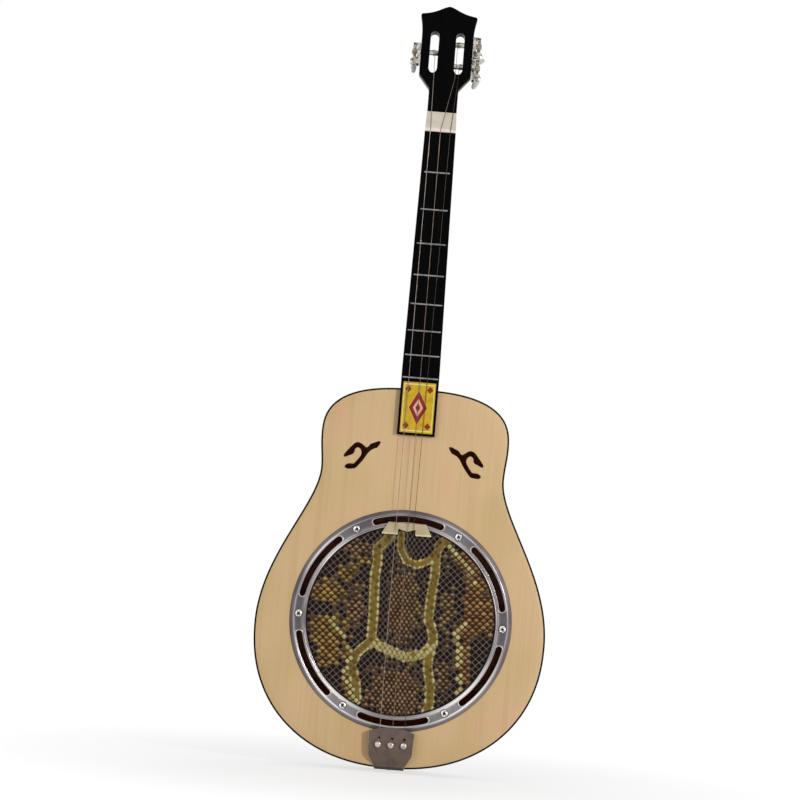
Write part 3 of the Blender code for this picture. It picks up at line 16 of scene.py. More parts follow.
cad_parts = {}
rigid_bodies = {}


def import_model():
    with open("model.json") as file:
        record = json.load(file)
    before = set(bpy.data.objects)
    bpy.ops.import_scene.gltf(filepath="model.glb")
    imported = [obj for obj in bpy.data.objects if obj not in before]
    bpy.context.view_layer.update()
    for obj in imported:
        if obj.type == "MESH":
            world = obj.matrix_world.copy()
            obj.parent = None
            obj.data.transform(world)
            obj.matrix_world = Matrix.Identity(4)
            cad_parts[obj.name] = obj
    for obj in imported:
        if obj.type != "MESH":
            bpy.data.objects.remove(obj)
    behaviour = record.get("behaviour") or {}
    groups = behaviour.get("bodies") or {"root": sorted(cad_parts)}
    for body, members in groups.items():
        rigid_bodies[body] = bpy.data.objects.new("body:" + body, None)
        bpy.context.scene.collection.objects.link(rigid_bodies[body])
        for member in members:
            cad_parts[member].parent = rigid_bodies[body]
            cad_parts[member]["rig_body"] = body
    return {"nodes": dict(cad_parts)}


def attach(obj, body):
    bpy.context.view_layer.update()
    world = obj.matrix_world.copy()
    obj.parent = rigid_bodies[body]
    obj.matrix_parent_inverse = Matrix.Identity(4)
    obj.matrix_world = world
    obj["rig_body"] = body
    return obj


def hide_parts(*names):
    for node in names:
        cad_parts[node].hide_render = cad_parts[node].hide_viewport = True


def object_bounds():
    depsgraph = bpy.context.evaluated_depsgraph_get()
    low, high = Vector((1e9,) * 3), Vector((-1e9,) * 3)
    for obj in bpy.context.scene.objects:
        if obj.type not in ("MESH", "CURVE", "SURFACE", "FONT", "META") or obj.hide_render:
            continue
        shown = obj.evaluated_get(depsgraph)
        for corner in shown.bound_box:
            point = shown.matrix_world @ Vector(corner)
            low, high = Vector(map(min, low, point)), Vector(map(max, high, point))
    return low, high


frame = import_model()
cad_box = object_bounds()
ROOT = "instrument"

# Where the face frame and the head frame are
HANGER_Y = 0.700
HANGER_Z = -0.016
NECK_END_Y = 0.664
HEAD_LEAN = math.radians(13.0)
GAP = 0.0003

# Sound box
TAIL_Y = -0.1924
LOWER_BOUT, LOWER_BOUT_Y = 0.379, -0.018
WAIST, WAIST_Y = 0.2385, 0.192
UPPER_BOUT, UPPER_BOUT_Y = 0.2444, 0.234
TOP_Y = 0.3025
LOWER_ROUNDNESS, UPPER_ROUNDNESS = 2.2, 2.7
BOUT_SWEEP, WAIST_SWEEP = 0.0904, 0.0494
BODY_DEPTH = 0.075
BOARD_THICKNESS = 0.003
BINDING_WIDTH = 0.002
RIM_WALL = 0.004

# Skin and ring
SKIN_RADIUS = 0.1255
SKIN_THICKNESS = 0.0006
SKIN_LEVEL = -0.0004
SCALE_RELIEF = 0.00022
BOARD_HOLE_RADIUS = 0.1390
RING_INNER_RADIUS = 0.1227
BEAD_RADIUS, BEAD_HEIGHT = 0.1266, 0.0023
CHANNEL_START, CHANNEL_END, CHANNEL_LEVEL = 0.12815, 0.13755, 0.0020
SLOT_RADIUS, SLOT_WIDTH, SLOT_HALF_ANGLE = 0.1328, 0.0083, math.radians(18.5)
CREST_RADIUS, CREST_HEIGHT = 0.1389, 0.0034
RING_RADIUS = 0.1445
RING_SHEET = 0.0010
SCREW_HEAD_RADIUS, SCREW_HEAD_HEIGHT = 0.0046, 0.0022

# Neck
FINGERBOARD_END_Y = 0.242
TAPER_START_Y = 0.330
NUT_Y = 0.6373
NECK_WIDTH, NUT_WIDTH, NECK_END_WIDTH = 0.0492, 0.0403, 0.0382
FINGERBOARD_TOP = 0.0063
HEEL_DEPTH = 0.066
NECK_DEPTH_LOW, NECK_DEPTH_HIGH = 0.0240, 0.0200
HEAD_THICKNESS = 0.015
FIRST_FRET_STEP, FRET_RATIO = 0.05265, 0.92
FIRST_FRET_INSET, LAST_FRET_INSET = 0.0040, 0.0012
FRET_WIDTH, FRET_HEIGHT = 0.0022, 0.0010
NUT_HEIGHT, NUT_LIP = 0.0084, 0.0032

# Peghead
SHOULDER_Y, SHOULDER_RISE = 0.0335, 0.0145
SHOULDER_EASE = 0.0040
HEAD_WIDTH, HEAD_TOP_WIDTH = 0.0676, 0.0738
HEAD_FLARE_Y, HEAD_CORNER_Y = 0.104, 0.1326
HEAD_CORNER_RADIUS = 0.0028
OGEE_RISE, OGEE_SKEW, OGEE_SLANT = 0.0117, 1.5, 0.45
HEAD_SLOT_X, HEAD_SLOT_WIDTH = 0.0166, 0.011
HEAD_SLOT_LOW, HEAD_SLOT_HIGH = 0.0534, 0.1088
RAMP_WIDTH, RAMP_LENGTH, RAMP_DEPTH = 0.0086, 0.010, 0.0031

# Machine heads: side of the head, height of the wheel in the head frame, turn of the button
TUNERS = ((-1, 0.0815, 90.0), (1, 0.0945, 12.0), (1, 0.0650, 62.0))
GEAR_TEETH = 14
WORM_PITCH, WORM_PITCH_RADIUS = 0.0038, 0.0046
GEAR_PITCH_RADIUS = GEAR_TEETH * WORM_PITCH / (2 * math.pi)
MESH_CLEARANCE = 0.0001
ADDENDUM, DEDENDUM = 0.00065, 0.00095
TOOTH_TIP, TOOTH_ROOT = 0.0010, 0.0022
GEAR_THICKNESS, GEAR_OUT = 0.0044, 0.0077
ROLLER_RADIUS, SPIGOT_RADIUS = 0.0035, 0.0024
ROLLER_SEAT_DEPTH = 0.0042
ROLLER_CAP_RADIUS, ROLLER_CAP_HEIGHT = 0.0040, 0.0012
PLATE_HEIGHT, PLATE_THICKNESS = 0.0136, 0.0012
SHAFT_RADIUS, SHAFT_CAP_RADIUS, SHAFT_CAP_HEIGHT = 0.0019, 0.0033, 0.0013
BUTTON_STANDOFF, BUTTON_LENGTH = 0.0050, 0.0170
BUTTON_WIDTH, BUTTON_THICKNESS = 0.0190, 0.0080

# Strings: diameter, and the place across at the tail hole, bridge, nut, slot's mouth and roller
STRINGS = (
    (0.0007, -0.0157, -0.0160, -0.0131, -0.0142, -0.0150),
    (0.0006, 0.0012, -0.0002, 0.0002, 0.0134, 0.0138),
    (0.0006, 0.0175, 0.0072, 0.0130, 0.0178, 0.0176),
)
THICKEST_STRING = max(string[0] for string in STRINGS)
STRING_CLEARANCE = 0.0004
STRING_SINK = 0.0003
SLOT_MOUTH_Y, SLOT_MOUTH_HEIGHT = 0.0460, 0.0009
WINDING_TURNS, WINDING_PITCH = 2.3, 0.0013

# Bridge and tailpiece
BRIDGE_X, BRIDGE_FOOT_Y, BRIDGE_HEIGHT = -0.0015, 0.113, 0.0156
BRIDGE_FOOT_WIDTH, BRIDGE_TOP_WIDTH = 0.0648, 0.0490
BRIDGE_TOP_THICKNESS = 0.0034
TAIL_FRONT_Y = -0.1447
TAIL_HOLE_Y, TAIL_HOLE_RADIUS = -0.1528, 0.0020
PIN_Y, PIN_SPACING = -0.1610, 0.0168
PIN_RADIUS, PIN_HEAD_RADIUS, PIN_HEIGHT = 0.0015, 0.0039, 0.0042
TAIL_SHEET = 0.0012
TAIL_BOW, TAIL_BEND, TAIL_KINK, TAIL_KINK_DROP = 0.0065, 0.0233, 0.0300, 0.0016
TAIL_EDGE_RUN, TAIL_TURN, TAIL_DROP = 0.0045, 0.0016, 0.040
TAIL_FRONT_HALF, TAIL_KINK_HALF, TAIL_EDGE_HALF = 0.0302, 0.0285, 0.0195
TAIL_SCREW_DEPTHS = (0.021, 0.032)

# Left sound hole, cut freehand: shares of its length, out from its middle and up
SOUND_HOLE_X, SOUND_HOLE_Y, SOUND_HOLE_LENGTH = 0.0680, 0.2110, 0.0460
SOUND_HOLE_FILING = 0.0005
SOUND_HOLE = (
    (0.50, 0.40), (0.44, 0.42), (0.35, 0.38), (0.24, 0.33), (0.16, 0.24), (0.10, 0.23), (0.02, 0.29),
    (-0.07, 0.34), (-0.14, 0.35), (-0.21, 0.32), (-0.28, 0.25), (-0.45, 0.04), (-0.49, -0.04), (-0.46, -0.07),
    (-0.35, -0.02), (-0.26, 0.02), (-0.22, 0.07), (-0.21, 0.14), (-0.17, 0.20), (-0.11, 0.22), (-0.05, 0.19),
    (-0.01, 0.13), (0.00, 0.05), (-0.03, -0.04), (-0.16, -0.22), (-0.21, -0.26), (-0.36, -0.27),
    (-0.44, -0.34), (-0.42, -0.38), (-0.36, -0.40), (-0.19, -0.38), (-0.12, -0.33), (0.04, -0.13),
    (0.16, 0.07), (0.25, 0.17), (0.35, 0.23), (0.42, 0.26),
)

# The skin's markings, in millimetres from its centre: the olive bands, and the rows of cream scales
BANDS = (
    ((-18, 118), (-25, 106), (-38, 91), (-36, 76), (-38, 58), (-37, 30), (-36, 6), (-36, -29)),
    ((-36, -29), (-22, -35), (-3, -42), (9, -46), (25, -43), (36, -37), (41, -33)),
    ((-36, -29), (-47, -39), (-55, -48), (-59, -63), (-52, -83), (-49, -107)),
    ((54, 112), (44, 104), (39, 92), (40, 65), (37, 36), (36, 5), (43, -12), (44, -27), (40, -40), (40, -57),
     (45, -83), (46, -104), (43, -115)),
    ((-8, 112), (-8, 95), (1, 79), (15, 74), (30, 81), (39, 92)),
)
BEAD_ROWS = (
    ((-93, 2), (-83, -12), (-68, -27), (-60, -44)),
    ((-60, -44), (-65, -66), (-66, -80), (-57, -94), (-52, -106)),
    ((82, 3), (73, -11), (81, -38), (81, -57), (82, -71), (90, -76)),
    ((88, -84), (78, -92)),
    ((58, 103), (68, 92), (84, 74), (91, 57)),
)


# Frames and grids


def to_row(points):
    """Face frame to row frame: x stays, y runs up from the hanger, z runs towards the player."""
    x, y, z = np.moveaxis(np.asarray(points, float), -1, 0)
    return np.stack([x, HANGER_Z - z, y - HANGER_Y], -1)


def from_head(points):
    """Head frame to face frame: turned back by the lean about the end of the neck."""
    x, y, z = np.moveaxis(np.asarray(points, float), -1, 0)
    cosine, sine = math.cos(HEAD_LEAN), math.sin(HEAD_LEAN)
    return np.stack([x, NECK_END_Y + y * cosine + z * sine, z * cosine - y * sine], -1)


def stack(*parts):
    """Coordinates of unequal shapes, spread over one grid of points."""
    return np.stack(np.broadcast_arrays(*parts), -1)


def ring_of(count):
    """Angles once round, with the first repeated at the end so that a seam can close."""
    return np.linspace(0.0, 2.0 * math.pi, count + 1)


def capped(grid):
    """The grid with its first and last rows drawn in to their middles, which closes both ends."""
    first = np.broadcast_to(grid[0, :-1].mean(0), grid[0].shape)
    last = np.broadcast_to(grid[-1, :-1].mean(0), grid[-1].shape)
    return np.concatenate([first[None], grid, last[None]])


def turned(profile, count):
    """A lathe: row i is the profile's (radius, height) i carried once round the Z axis."""
    radius, height = np.asarray(profile, float).T
    angle = ring_of(count)
    return stack(radius[:, None] * np.cos(angle), radius[:, None] * np.sin(angle), height[:, None])


def to_x_axis(grid):
    """A shape drawn about Z, laid along X: x from z, y from x and z from y."""
    return grid[..., [2, 0, 1]]


def rounded(values, share):
    """Softens the corners of a sampled line: each value becomes the mean of its neighbours within share."""
    reach = max(int(len(values) * share), 1)
    wide = np.pad(values, reach, mode="edge")
    kernel = np.hanning(2 * reach + 1)
    return np.convolve(wide, kernel / kernel.sum(), mode="valid")


def smooth_loop(corners, factor):
    """A closed curve through the corners: a Catmull-Rom span between each pair, factor points to a span."""
    p = np.asarray(corners, float)
    before, after, beyond = np.roll(p, 1, 0), np.roll(p, -1, 0), np.roll(p, -2, 0)
    t = (np.arange(factor) / factor)[None, :, None]
    p, before, after, beyond = (a[:, None, :] for a in (p, before, after, beyond))
    curve = 0.5 * (2 * p + (after - before) * t + (2 * before - 5 * p + 4 * after - beyond) * t**2
                   + (3 * p - before - 3 * after + beyond) * t**3)
    return curve.reshape(-1, 2)


def closed_loop(outline):
    """An outline with its first point repeated at its end."""
    return np.concatenate([outline, outline[:1]])


def prism(outline, low, high):
    """A closed solid that fills the outline from height low to height high."""
    loop = closed_loop(np.asarray(outline, float))
    rows = [stack(loop[:, 0], loop[:, 1], height) for height in (low, high)]
    return capped(np.stack(rows))


def carried(outline, profile):
    """A profile of (out, z) carried round an outline, out being measured along the outline's outward normal."""
    along = np.roll(outline, -1, 0) - np.roll(outline, 1, 0)
    along /= np.linalg.norm(along, axis=1, keepdims=True)
    place = closed_loop(outline)
    normal = closed_loop(np.stack([along[:, 1], -along[:, 0]], -1))
    out, height = np.asarray(profile, float).T
    flat = place[None] + out[:, None, None] * normal[None]
    return stack(flat[..., 0], flat[..., 1], height[:, None])


def edge_profile(inset, low, high, radius, steps=4):
    """Section of a plate's edge from its underside to its top, both corners rounded by radius."""
    angle = np.linspace(0.0, 0.5 * math.pi, steps + 1)
    lower = np.stack([radius * (np.sin(angle) - 1), low + radius * (1 - np.cos(angle))], -1)
    upper = np.stack([radius * (np.cos(angle) - 1), high - radius * (1 - np.sin(angle))], -1)
    section = np.concatenate([lower, upper])
    section[:, 0] -= inset
    return section


def plate(outline, centre, low, high, radius, inset=0.0):
    """A flat plate: its edge carried round the outline, and both faces drawn in to a point at the centre."""
    edge = carried(outline, edge_profile(inset, low, high, radius))
    middle = np.array([*centre, 0.0])
    shares = np.array([0.0, 0.5, 0.9])[:, None, None]
    under = middle + shares * (edge[0] - middle)
    over = middle + shares[::-1] * (edge[-1] - middle)
    under[..., 2] = low
    over[..., 2] = high
    return np.concatenate([under, edge, over])


def sweep(path, side, radius, count=10):
    """A round cord: at each point of the path a circle square to its tangent, started from the side direction."""
    path = np.asarray(path, float)
    tangent = np.gradient(path, axis=0)
    tangent /= np.linalg.norm(tangent, axis=1, keepdims=True)
    first = np.cross(tangent, side)
    first /= np.linalg.norm(first, axis=1, keepdims=True)
    second = np.cross(tangent, first)
    angle = ring_of(count)[None, :, None]
    ring = np.cos(angle) * first[:, None] + np.sin(angle) * second[:, None]
    return path[:, None] + radius * ring


def length_uv(path, count=10):
    """For a cord's grid: v is the length along the path, u the turn about it."""
    step = np.linalg.norm(np.diff(path, axis=0), axis=1)
    length = np.concatenate([[0.0], np.cumsum(step)])
    return stack(ring_of(count)[None, :] / (2 * math.pi), length[:, None])


# Pieces


def place_in_mesh(name, sheets, uv=None, marks=None):
    """A mesh from grids of face-frame points, with its doubles merged and its faces turned outwards."""
    points, faces, start = [], [], 0
    for sheet in sheets:
        rows, columns = sheet.shape[:2]
        corner = start + np.arange(rows * columns).reshape(rows, columns)
        quads = np.stack([corner[:-1, :-1], corner[:-1, 1:], corner[1:, 1:], corner[1:, :-1]], -1)
        faces.append(quads.reshape(-1, 4))
        points.append(sheet.reshape(-1, 3))
        start += rows * columns
    faces = np.concatenate(faces)
    mesh = bpy.data.meshes.new(name)
    mesh.from_pydata(to_row(np.concatenate(points)).tolist(), [], faces.tolist())
    if uv is not None:
        values = np.concatenate([grid.reshape(-1, 2) for grid in uv])[faces.ravel()]
        mesh.uv_layers.new(name="along").data.foreach_set("uv", values.astype(np.float32).ravel())
    for mark, grids in (marks or {}).items():
        values = np.concatenate([np.asarray(grid, float).ravel() for grid in grids])
        layer = mesh.attributes.new(mark, "FLOAT", "POINT")
        layer.data.foreach_set("value", values.astype(np.float32))
    tidy_mesh(mesh)
    return mesh


def tidy_mesh(mesh, flat=False):
    work = bmesh.new()
    work.from_mesh(mesh)
    bmesh.ops.remove_doubles(work, verts=work.verts, dist=1e-6)
    if flat:
        bmesh.ops.dissolve_limit(work, angle_limit=math.radians(0.6), verts=work.verts, edges=work.edges)
    bmesh.ops.recalc_face_normals(work, faces=work.faces)
    work.to_mesh(mesh)
    work.free()


def shade(mesh, crease):
    mesh.shade_smooth()
    mesh.set_sharp_from_angle(angle=math.radians(crease))


def ridden(name, mesh, body, finish, replaces=(), slot=None, crease=35.0):
    """An object that wears the finish, rides on the body and stands for the CAD nodes it replaces."""
    made = bpy.data.objects.new(name, mesh)
    bpy.context.scene.collection.objects.link(made)
    mesh.materials.clear()
    mesh.materials.append(finish.material)
    shade(mesh, crease)
    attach(made, body)
    if replaces:
        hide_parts(*replaces)
    slot or finish.slot
    return made


def piece(name, body, finish, sheets, uv=None, marks=None, replaces=(), slot=None, crease=35.0):
    mesh = place_in_mesh(name, sheets, uv, marks)
    return ridden(name, mesh, body, finish, replaces, slot, crease)


def cut(target, sheets, crease=35.0):
    """Takes the closed solids in sheets out of the target, and keeps the result as its mesh."""
    cutter = bpy.data.objects.new("cutter", place_in_mesh("cutter", sheets))
    bpy.context.scene.collection.objects.link(cutter)
    modifier = target.modifiers.new("Cut", "BOOLEAN")
    modifier.operation = "DIFFERENCE"
    modifier.solver = "EXACT"
    modifier.object = cutter
    bpy.context.view_layer.update()
    ready = target.evaluated_get(bpy.context.evaluated_depsgraph_get())
    made = bpy.data.meshes.new_from_object(ready)
    target.modifiers.remove(modifier)
    target.data = made
    shade(made, crease)
    bpy.data.objects.remove(cutter, do_unlink=True)


def eased(target, width, segments=2, angle=40.0):
    """A live bevel on the target's sharp edges."""
    modifier = target.modifiers.new("Eased edges", "BEVEL")
    modifier.width = width
    modifier.segments = segments
    modifier.limit_method = "ANGLE"
    modifier.angle_limit = math.radians(angle)
    modifier.use_clamp_overlap = True


def dressed(node, finish, width=0.0003, segments=2, angle=28.0, crease=35.0):
    """A merged copy of a CAD node, with its flat faces joined and its edges eased, that stands for the node."""
    source = frame["nodes"][node]
    mesh = source.data.copy()
    for layer in list(mesh.uv_layers):
        mesh.uv_layers.remove(layer)
    tidy_mesh(mesh, flat=True)
    made = ridden(f"{node}_eased", mesh, source["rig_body"], finish, (node,), crease=crease)
    eased(made, width, segments, angle)
    return made


# Finishes


def rgb(red, green, blue):
    """A colour as a screen shows it, from 0 to 255, as the linear numbers that a shader takes."""
    shown = np.array([red, green, blue]) / 255.0
    linear = np.where(shown <= 0.04045, shown / 12.92, ((shown + 0.055) / 1.055) ** 2.4)
    return (*linear.tolist(), 1.0)


class Signal:
    """A socket inside a finish. Arithmetic with it adds Math nodes, and gives the new node's socket."""

    def __init__(self, finish, socket):
        self.finish = finish
        self.socket = socket

    def math(self, operation, *values):
        return self.finish.node("ShaderNodeMath", {"operation": operation}, dict(enumerate(values)))

    def __add__(self, other):
        return self.math("ADD", self, other)

    def __sub__(self, other):
        return self.math("SUBTRACT", self, other)

    def __mul__(self, other):
        return self.math("MULTIPLY", self, other)

    def __truediv__(self, other):
        return self.math("DIVIDE", self, other)

    def __rsub__(self, other):
        return self.math("SUBTRACT", other, self)

    def __pow__(self, other):
        return self.math("POWER", self, other)

    __radd__ = __add__
    __rmul__ = __mul__

    def least(self, other):
        return self.math("MINIMUM", self, other)

    def most(self, other):
        return self.math("MAXIMUM", self, other)

    def size(self):
        return self.math("ABSOLUTE", self)

    def part(self):
        return self.math("FRACT", self)

    def step(self, low, high):
        """0 below low, 1 above high and smooth between; falling where low is the higher."""
        settings = {"interpolation_type": "SMOOTHSTEP", "clamp": True}
        if low < high:
            return self.finish.node("ShaderNodeMapRange", settings, {0: self, 1: low, 2: high})
        return 1 - self.finish.node("ShaderNodeMapRange", settings, {0: self, 1: high, 2: low})

    def inside(self):
        """How far inside its cell of a net a coordinate is: 0 on the cell's border and 0.5 in its middle."""
        return 0.5 - (self.part() - 0.5).size()


class Finish:
    """A material: one Principled shader, its fixed numbers set on its sockets, and nodes for what varies."""

    def __init__(self, slot, name=None, **fixed):
        self.slot = slot
        self.material = bpy.data.materials.new(name or slot)
        self.material.use_nodes = True
        self.tree = self.material.node_tree
        self.shader = self.tree.nodes["Principled BSDF"]
        for socket, value in fixed.items():
            self.shader.inputs[socket.replace("_", " ")].default_value = value

    def feed(self, socket, value):
        if isinstance(value, Signal):
            self.tree.links.new(value.socket, socket)
        else:
            socket.default_value = value

    def node(self, kind, settings=None, inputs=None, output=0):
        """Adds a node: its settings first, then its sockets by name or number, and gives one output."""
        made = self.tree.nodes.new(kind)
        for key, value in (settings or {}).items():
            setattr(made, key, value)
        for key, value in (inputs or {}).items():
            self.feed(made.inputs[key], value)
        return Signal(self, made.outputs[output])

    def drive(self, **sockets):
        for name, value in sockets.items():
            self.feed(self.shader.inputs[name.replace("_", " ")], value)
        return self

    def place(self):
        """Object coordinates, in metres of the row frame."""
        return self.node("ShaderNodeTexCoord", output="Object")

    def mark(self, name):
        return self.node("ShaderNodeAttribute", {"attribute_name": name}, output="Fac")

    def along(self):
        return self.node("ShaderNodeUVMap", {"uv_map": "along"})

    def split(self, vector):
        made = self.node("ShaderNodeSeparateXYZ", inputs={0: vector}).socket.node
        return [Signal(self, made.outputs[axis]) for axis in range(3)]

    def join(self, x, y, z=0.0):
        return self.node("ShaderNodeCombineXYZ", inputs={0: x, 1: y, 2: z})

    def stretch(self, vector, factors):
        return self.node("ShaderNodeVectorMath", {"operation": "MULTIPLY"}, {0: vector, 1: factors})

    def noise(self, vector, scale=1.0, detail=2.0, roughness=0.5, distortion=0.0):
        inputs = {"Vector": vector, "Scale": scale, "Detail": detail, "Roughness": roughness,
                  "Distortion": distortion}
        return self.node("ShaderNodeTexNoise", inputs=inputs, output="Fac")

    def mix(self, share, first, second):
        return self.node("ShaderNodeMix", {"data_type": "RGBA"}, {0: share, 6: first, 7: second}, output=2)

    def bump(self, height, distance, strength=1.0, under=None):
        inputs = {"Height": height, "Distance": distance, "Strength": strength}
        if under is not None:
            inputs["Normal"] = under
        return self.node("ShaderNodeBump", inputs=inputs)


def spruce():
    """Straight-grained pale wood under satin varnish: growth lines up the board, soft clouds and a warm blush."""
    made = Finish("spruce_top", Specular_IOR_Level=0.3)
    at = made.place()
    grain = made.noise(made.stretch(at, (430.0, 430.0, 5.0)), detail=3.0)
    fine = made.noise(made.stretch(at, (1700.0, 1700.0, 26.0)), detail=2.0)
    streak = made.noise(made.stretch(at, (90.0, 90.0, 4.0)), detail=3.0)
    cloud = made.noise(made.stretch(at, (7.0, 7.0, 5.0)), detail=2.0)
    blush = made.noise(made.stretch(at, (15.0, 15.0, 9.0)), detail=3.0, roughness=0.6)
    base = made.mix(cloud.step(0.40, 0.62), rgb(216, 183, 138), rgb(206, 176, 126))
    base = made.mix(blush.step(0.50, 0.72) * 0.60, base, rgb(220, 174, 140))
    base = made.mix(streak.step(0.52, 0.75) * 0.30, base, rgb(192, 158, 110))
    base = made.mix(grain.step(0.50, 0.72) * 0.18, base, rgb(184, 150, 104))
    base = made.mix(fine.step(0.55, 0.80) * 0.10, base, rgb(160, 122, 78))
    return made.drive(Base_Color=base, Roughness=0.42 + 0.14 * fine,
                      Normal=made.bump(grain * 0.6 + fine * 0.4, 0.00006, 0.5))


def lacquer(name, shine, inside=None):
    """Gloss black lacquer: almost level, with a faint orange peel, wiped patches and the odd dull streak.
    Where a colour for the inside is given, the side that faces into the box is stained with it."""
    made = Finish("black_lacquer", name, Specular_IOR_Level=shine)
    at = made.place()
    peel = made.noise(at, 520.0, 2.0)
    wipe = made.noise(made.stretch(at, (30.0, 30.0, 9.0)), detail=4.0, roughness=0.6)
    wood = made.noise(made.stretch(at, (160.0, 160.0, 7.0)), detail=3.0)
    base = made.mix(wood.step(0.45, 0.80) * 0.6, rgb(2, 2, 3), rgb(10, 7, 6))
    if inside is not None:
        _, depth, _ = made.split(at)
        inner_side = HANGER_Z + BODY_DEPTH - BOARD_THICKNESS
        base = made.mix(depth.step(inner_side + 0.0006, inner_side + 0.0002), base, inside)
    return made.drive(Base_Color=base, Roughness=0.13 + 0.16 * wipe.step(0.35, 0.75),
                      Normal=made.bump(peel, 0.00003, 0.5))


def nickel(name, slot="nickel", light=rgb(205, 203, 200), dull=rgb(150, 148, 146), rough=0.16):
    """Nickel plate: bright, with clouded patches, fine wiped scratches and a little pitting."""
    made = Finish(slot, name, Metallic=1.0)
    at = made.place()
    cloud = made.noise(at, 160.0, 4.0, 0.6)
    wipe = made.noise(made.stretch(at, (2600.0, 900.0, 300.0)), detail=2.0)
    pits = made.noise(at, 1500.0, 2.0)
    base = made.mix(cloud.step(0.40, 0.66), light, dull)
    base = made.mix(pits.step(0.64, 0.76) * 0.6, base, rgb(70, 64, 58))
    return made.drive(Base_Color=base, Roughness=rough + 0.18 * cloud.step(0.4, 0.8) + 0.06 * wipe,
                      Normal=made.bump(wipe * 0.5 + pits * 0.5, 0.00002, 0.5))


def screw_nickel():
    """Bright plated screw heads, with near-black painted shade down in the cross and rubbed flats round it."""
    made = Finish("nickel", "screw_nickel", Metallic=1.0)
    at = made.place()
    cloud = made.noise(at, 420.0, 3.0)
    deep = made.mark("deep")
    base = made.mix(cloud.step(0.42, 0.60), rgb(236, 234, 232), rgb(140, 136, 132))
    # Painted shade: the cross recess, marked by how deep in it a point is, is drawn near black.
    base = made.mix(deep, base, rgb(16, 13, 12))
    return made.drive(Base_Color=base, Roughness=0.16 + 0.16 * cloud + 0.4 * deep,
                      Normal=made.bump(cloud, 0.00003, 0.5))


def ring_nickel():
    """The pressed ring: fine spinning marks all round. From the skin outwards it has a dark foot, which is a
    painted shadow line, a bright bead, a grey channel that is painted lighter on its inner side as a reflection, a
    bright crest, and a tarnished flange painted pinkish grey as a reflection of the board, with a painted shade
    line and a rim painted dark as shadow.
    The bright bead and crest are painted highlights, and so are the pale lips round the slots and the bright
    patches at a few angles round the ring. The ring round each screw head is painted dark as its shadow."""
    made = Finish("nickel", "ring_nickel", Metallic=1.0)
    arc, radius, _ = made.split(made.along())
    spun = made.noise(made.join(arc * 30.0, radius * 5200.0), detail=3.0, roughness=0.6)
    rings = made.noise(made.join(arc * 4.0, radius * 1500.0), detail=2.0)
    cloud = made.noise(made.join(arc * 26.0, radius * 90.0), detail=4.0)
    stain = made.noise(made.place(), 55.0, 4.0, 0.65)
    # Painted lamp reflections: bright patches at a few set angles round the ring.
    polish = made.mark("polish")
    # Bead and crest: a bright colour that is a painted highlight, brighter still where the painted lamp reflections
    # fall.
    bright = made.mix(cloud.step(0.35, 0.70), rgb(160, 155, 155), rgb(122, 116, 117))
    bright = made.mix(polish, bright, rgb(232, 229, 226))
    # Channel floor: painted lighter on its inner side as a reflection.
    floor = made.mix(radius.step(CHANNEL_START, CHANNEL_START + 0.0030), rgb(122, 118, 119), rgb(88, 86, 90))
    floor = made.mix(polish * 0.6, floor, rgb(178, 174, 174))
    floor = made.mix(stain.step(0.42, 0.66) * 0.5, floor, rgb(112, 106, 108))
    # Flange: its pinkish grey is a painted reflection of the board, with a painted shade line across it and a rim
    # painted dark as shadow.
    flange = made.mix(cloud.step(0.38, 0.66), rgb(116, 105, 109), rgb(88, 79, 84))
    flange = made.mix(polish * 0.6, flange, rgb(176, 168, 168))
    flange = made.mix(((radius - 0.1424).size()).step(0.0008, 0.0002) * 0.7, flange, rgb(70, 60, 62))
    flange = made.mix(radius.step(0.1433, 0.1441), flange, rgb(84, 70, 64))
    base = made.mix(radius.step(CHANNEL_START - 0.0004, CHANNEL_START + 0.0001), bright, floor)
    base = made.mix(radius.step(CHANNEL_END - 0.0002, CHANNEL_END + 0.0003), base, bright)
    base = made.mix(radius.step(CREST_RADIUS + 0.0006, CREST_RADIUS + 0.0016), base, flange)
    # A painted shadow line where the ring meets the skin.
    base = made.mix(radius.step(RING_INNER_RADIUS + 0.0014, RING_INNER_RADIUS + 0.0006), base, rgb(66, 58, 56))
    # The lips round the slots are painted pale as highlights.
    base = made.mix(made.mark("lip"), base, rgb(196, 190, 190))
    # Painted shadow in a band round each screw head.
    base = made.mix(made.mark("grime"), base, rgb(40, 35, 34))
    base = made.mix(rings.step(0.55, 0.75) * 0.35, base, rgb(88, 80, 80))
    base = made.mix(spun.step(0.62, 0.85) * 0.35, base, rgb(80, 72, 72))
    tarnished = radius.step(CREST_RADIUS + 0.0004, CREST_RADIUS + 0.0014)
    return made.drive(Base_Color=base, Metallic=1 - 0.6 * tarnished,
                      Roughness=0.20 + 0.14 * cloud + 0.10 * spun + 0.22 * tarnished,
                      Normal=made.bump(spun + rings * 0.8, 0.00005, 0.7))


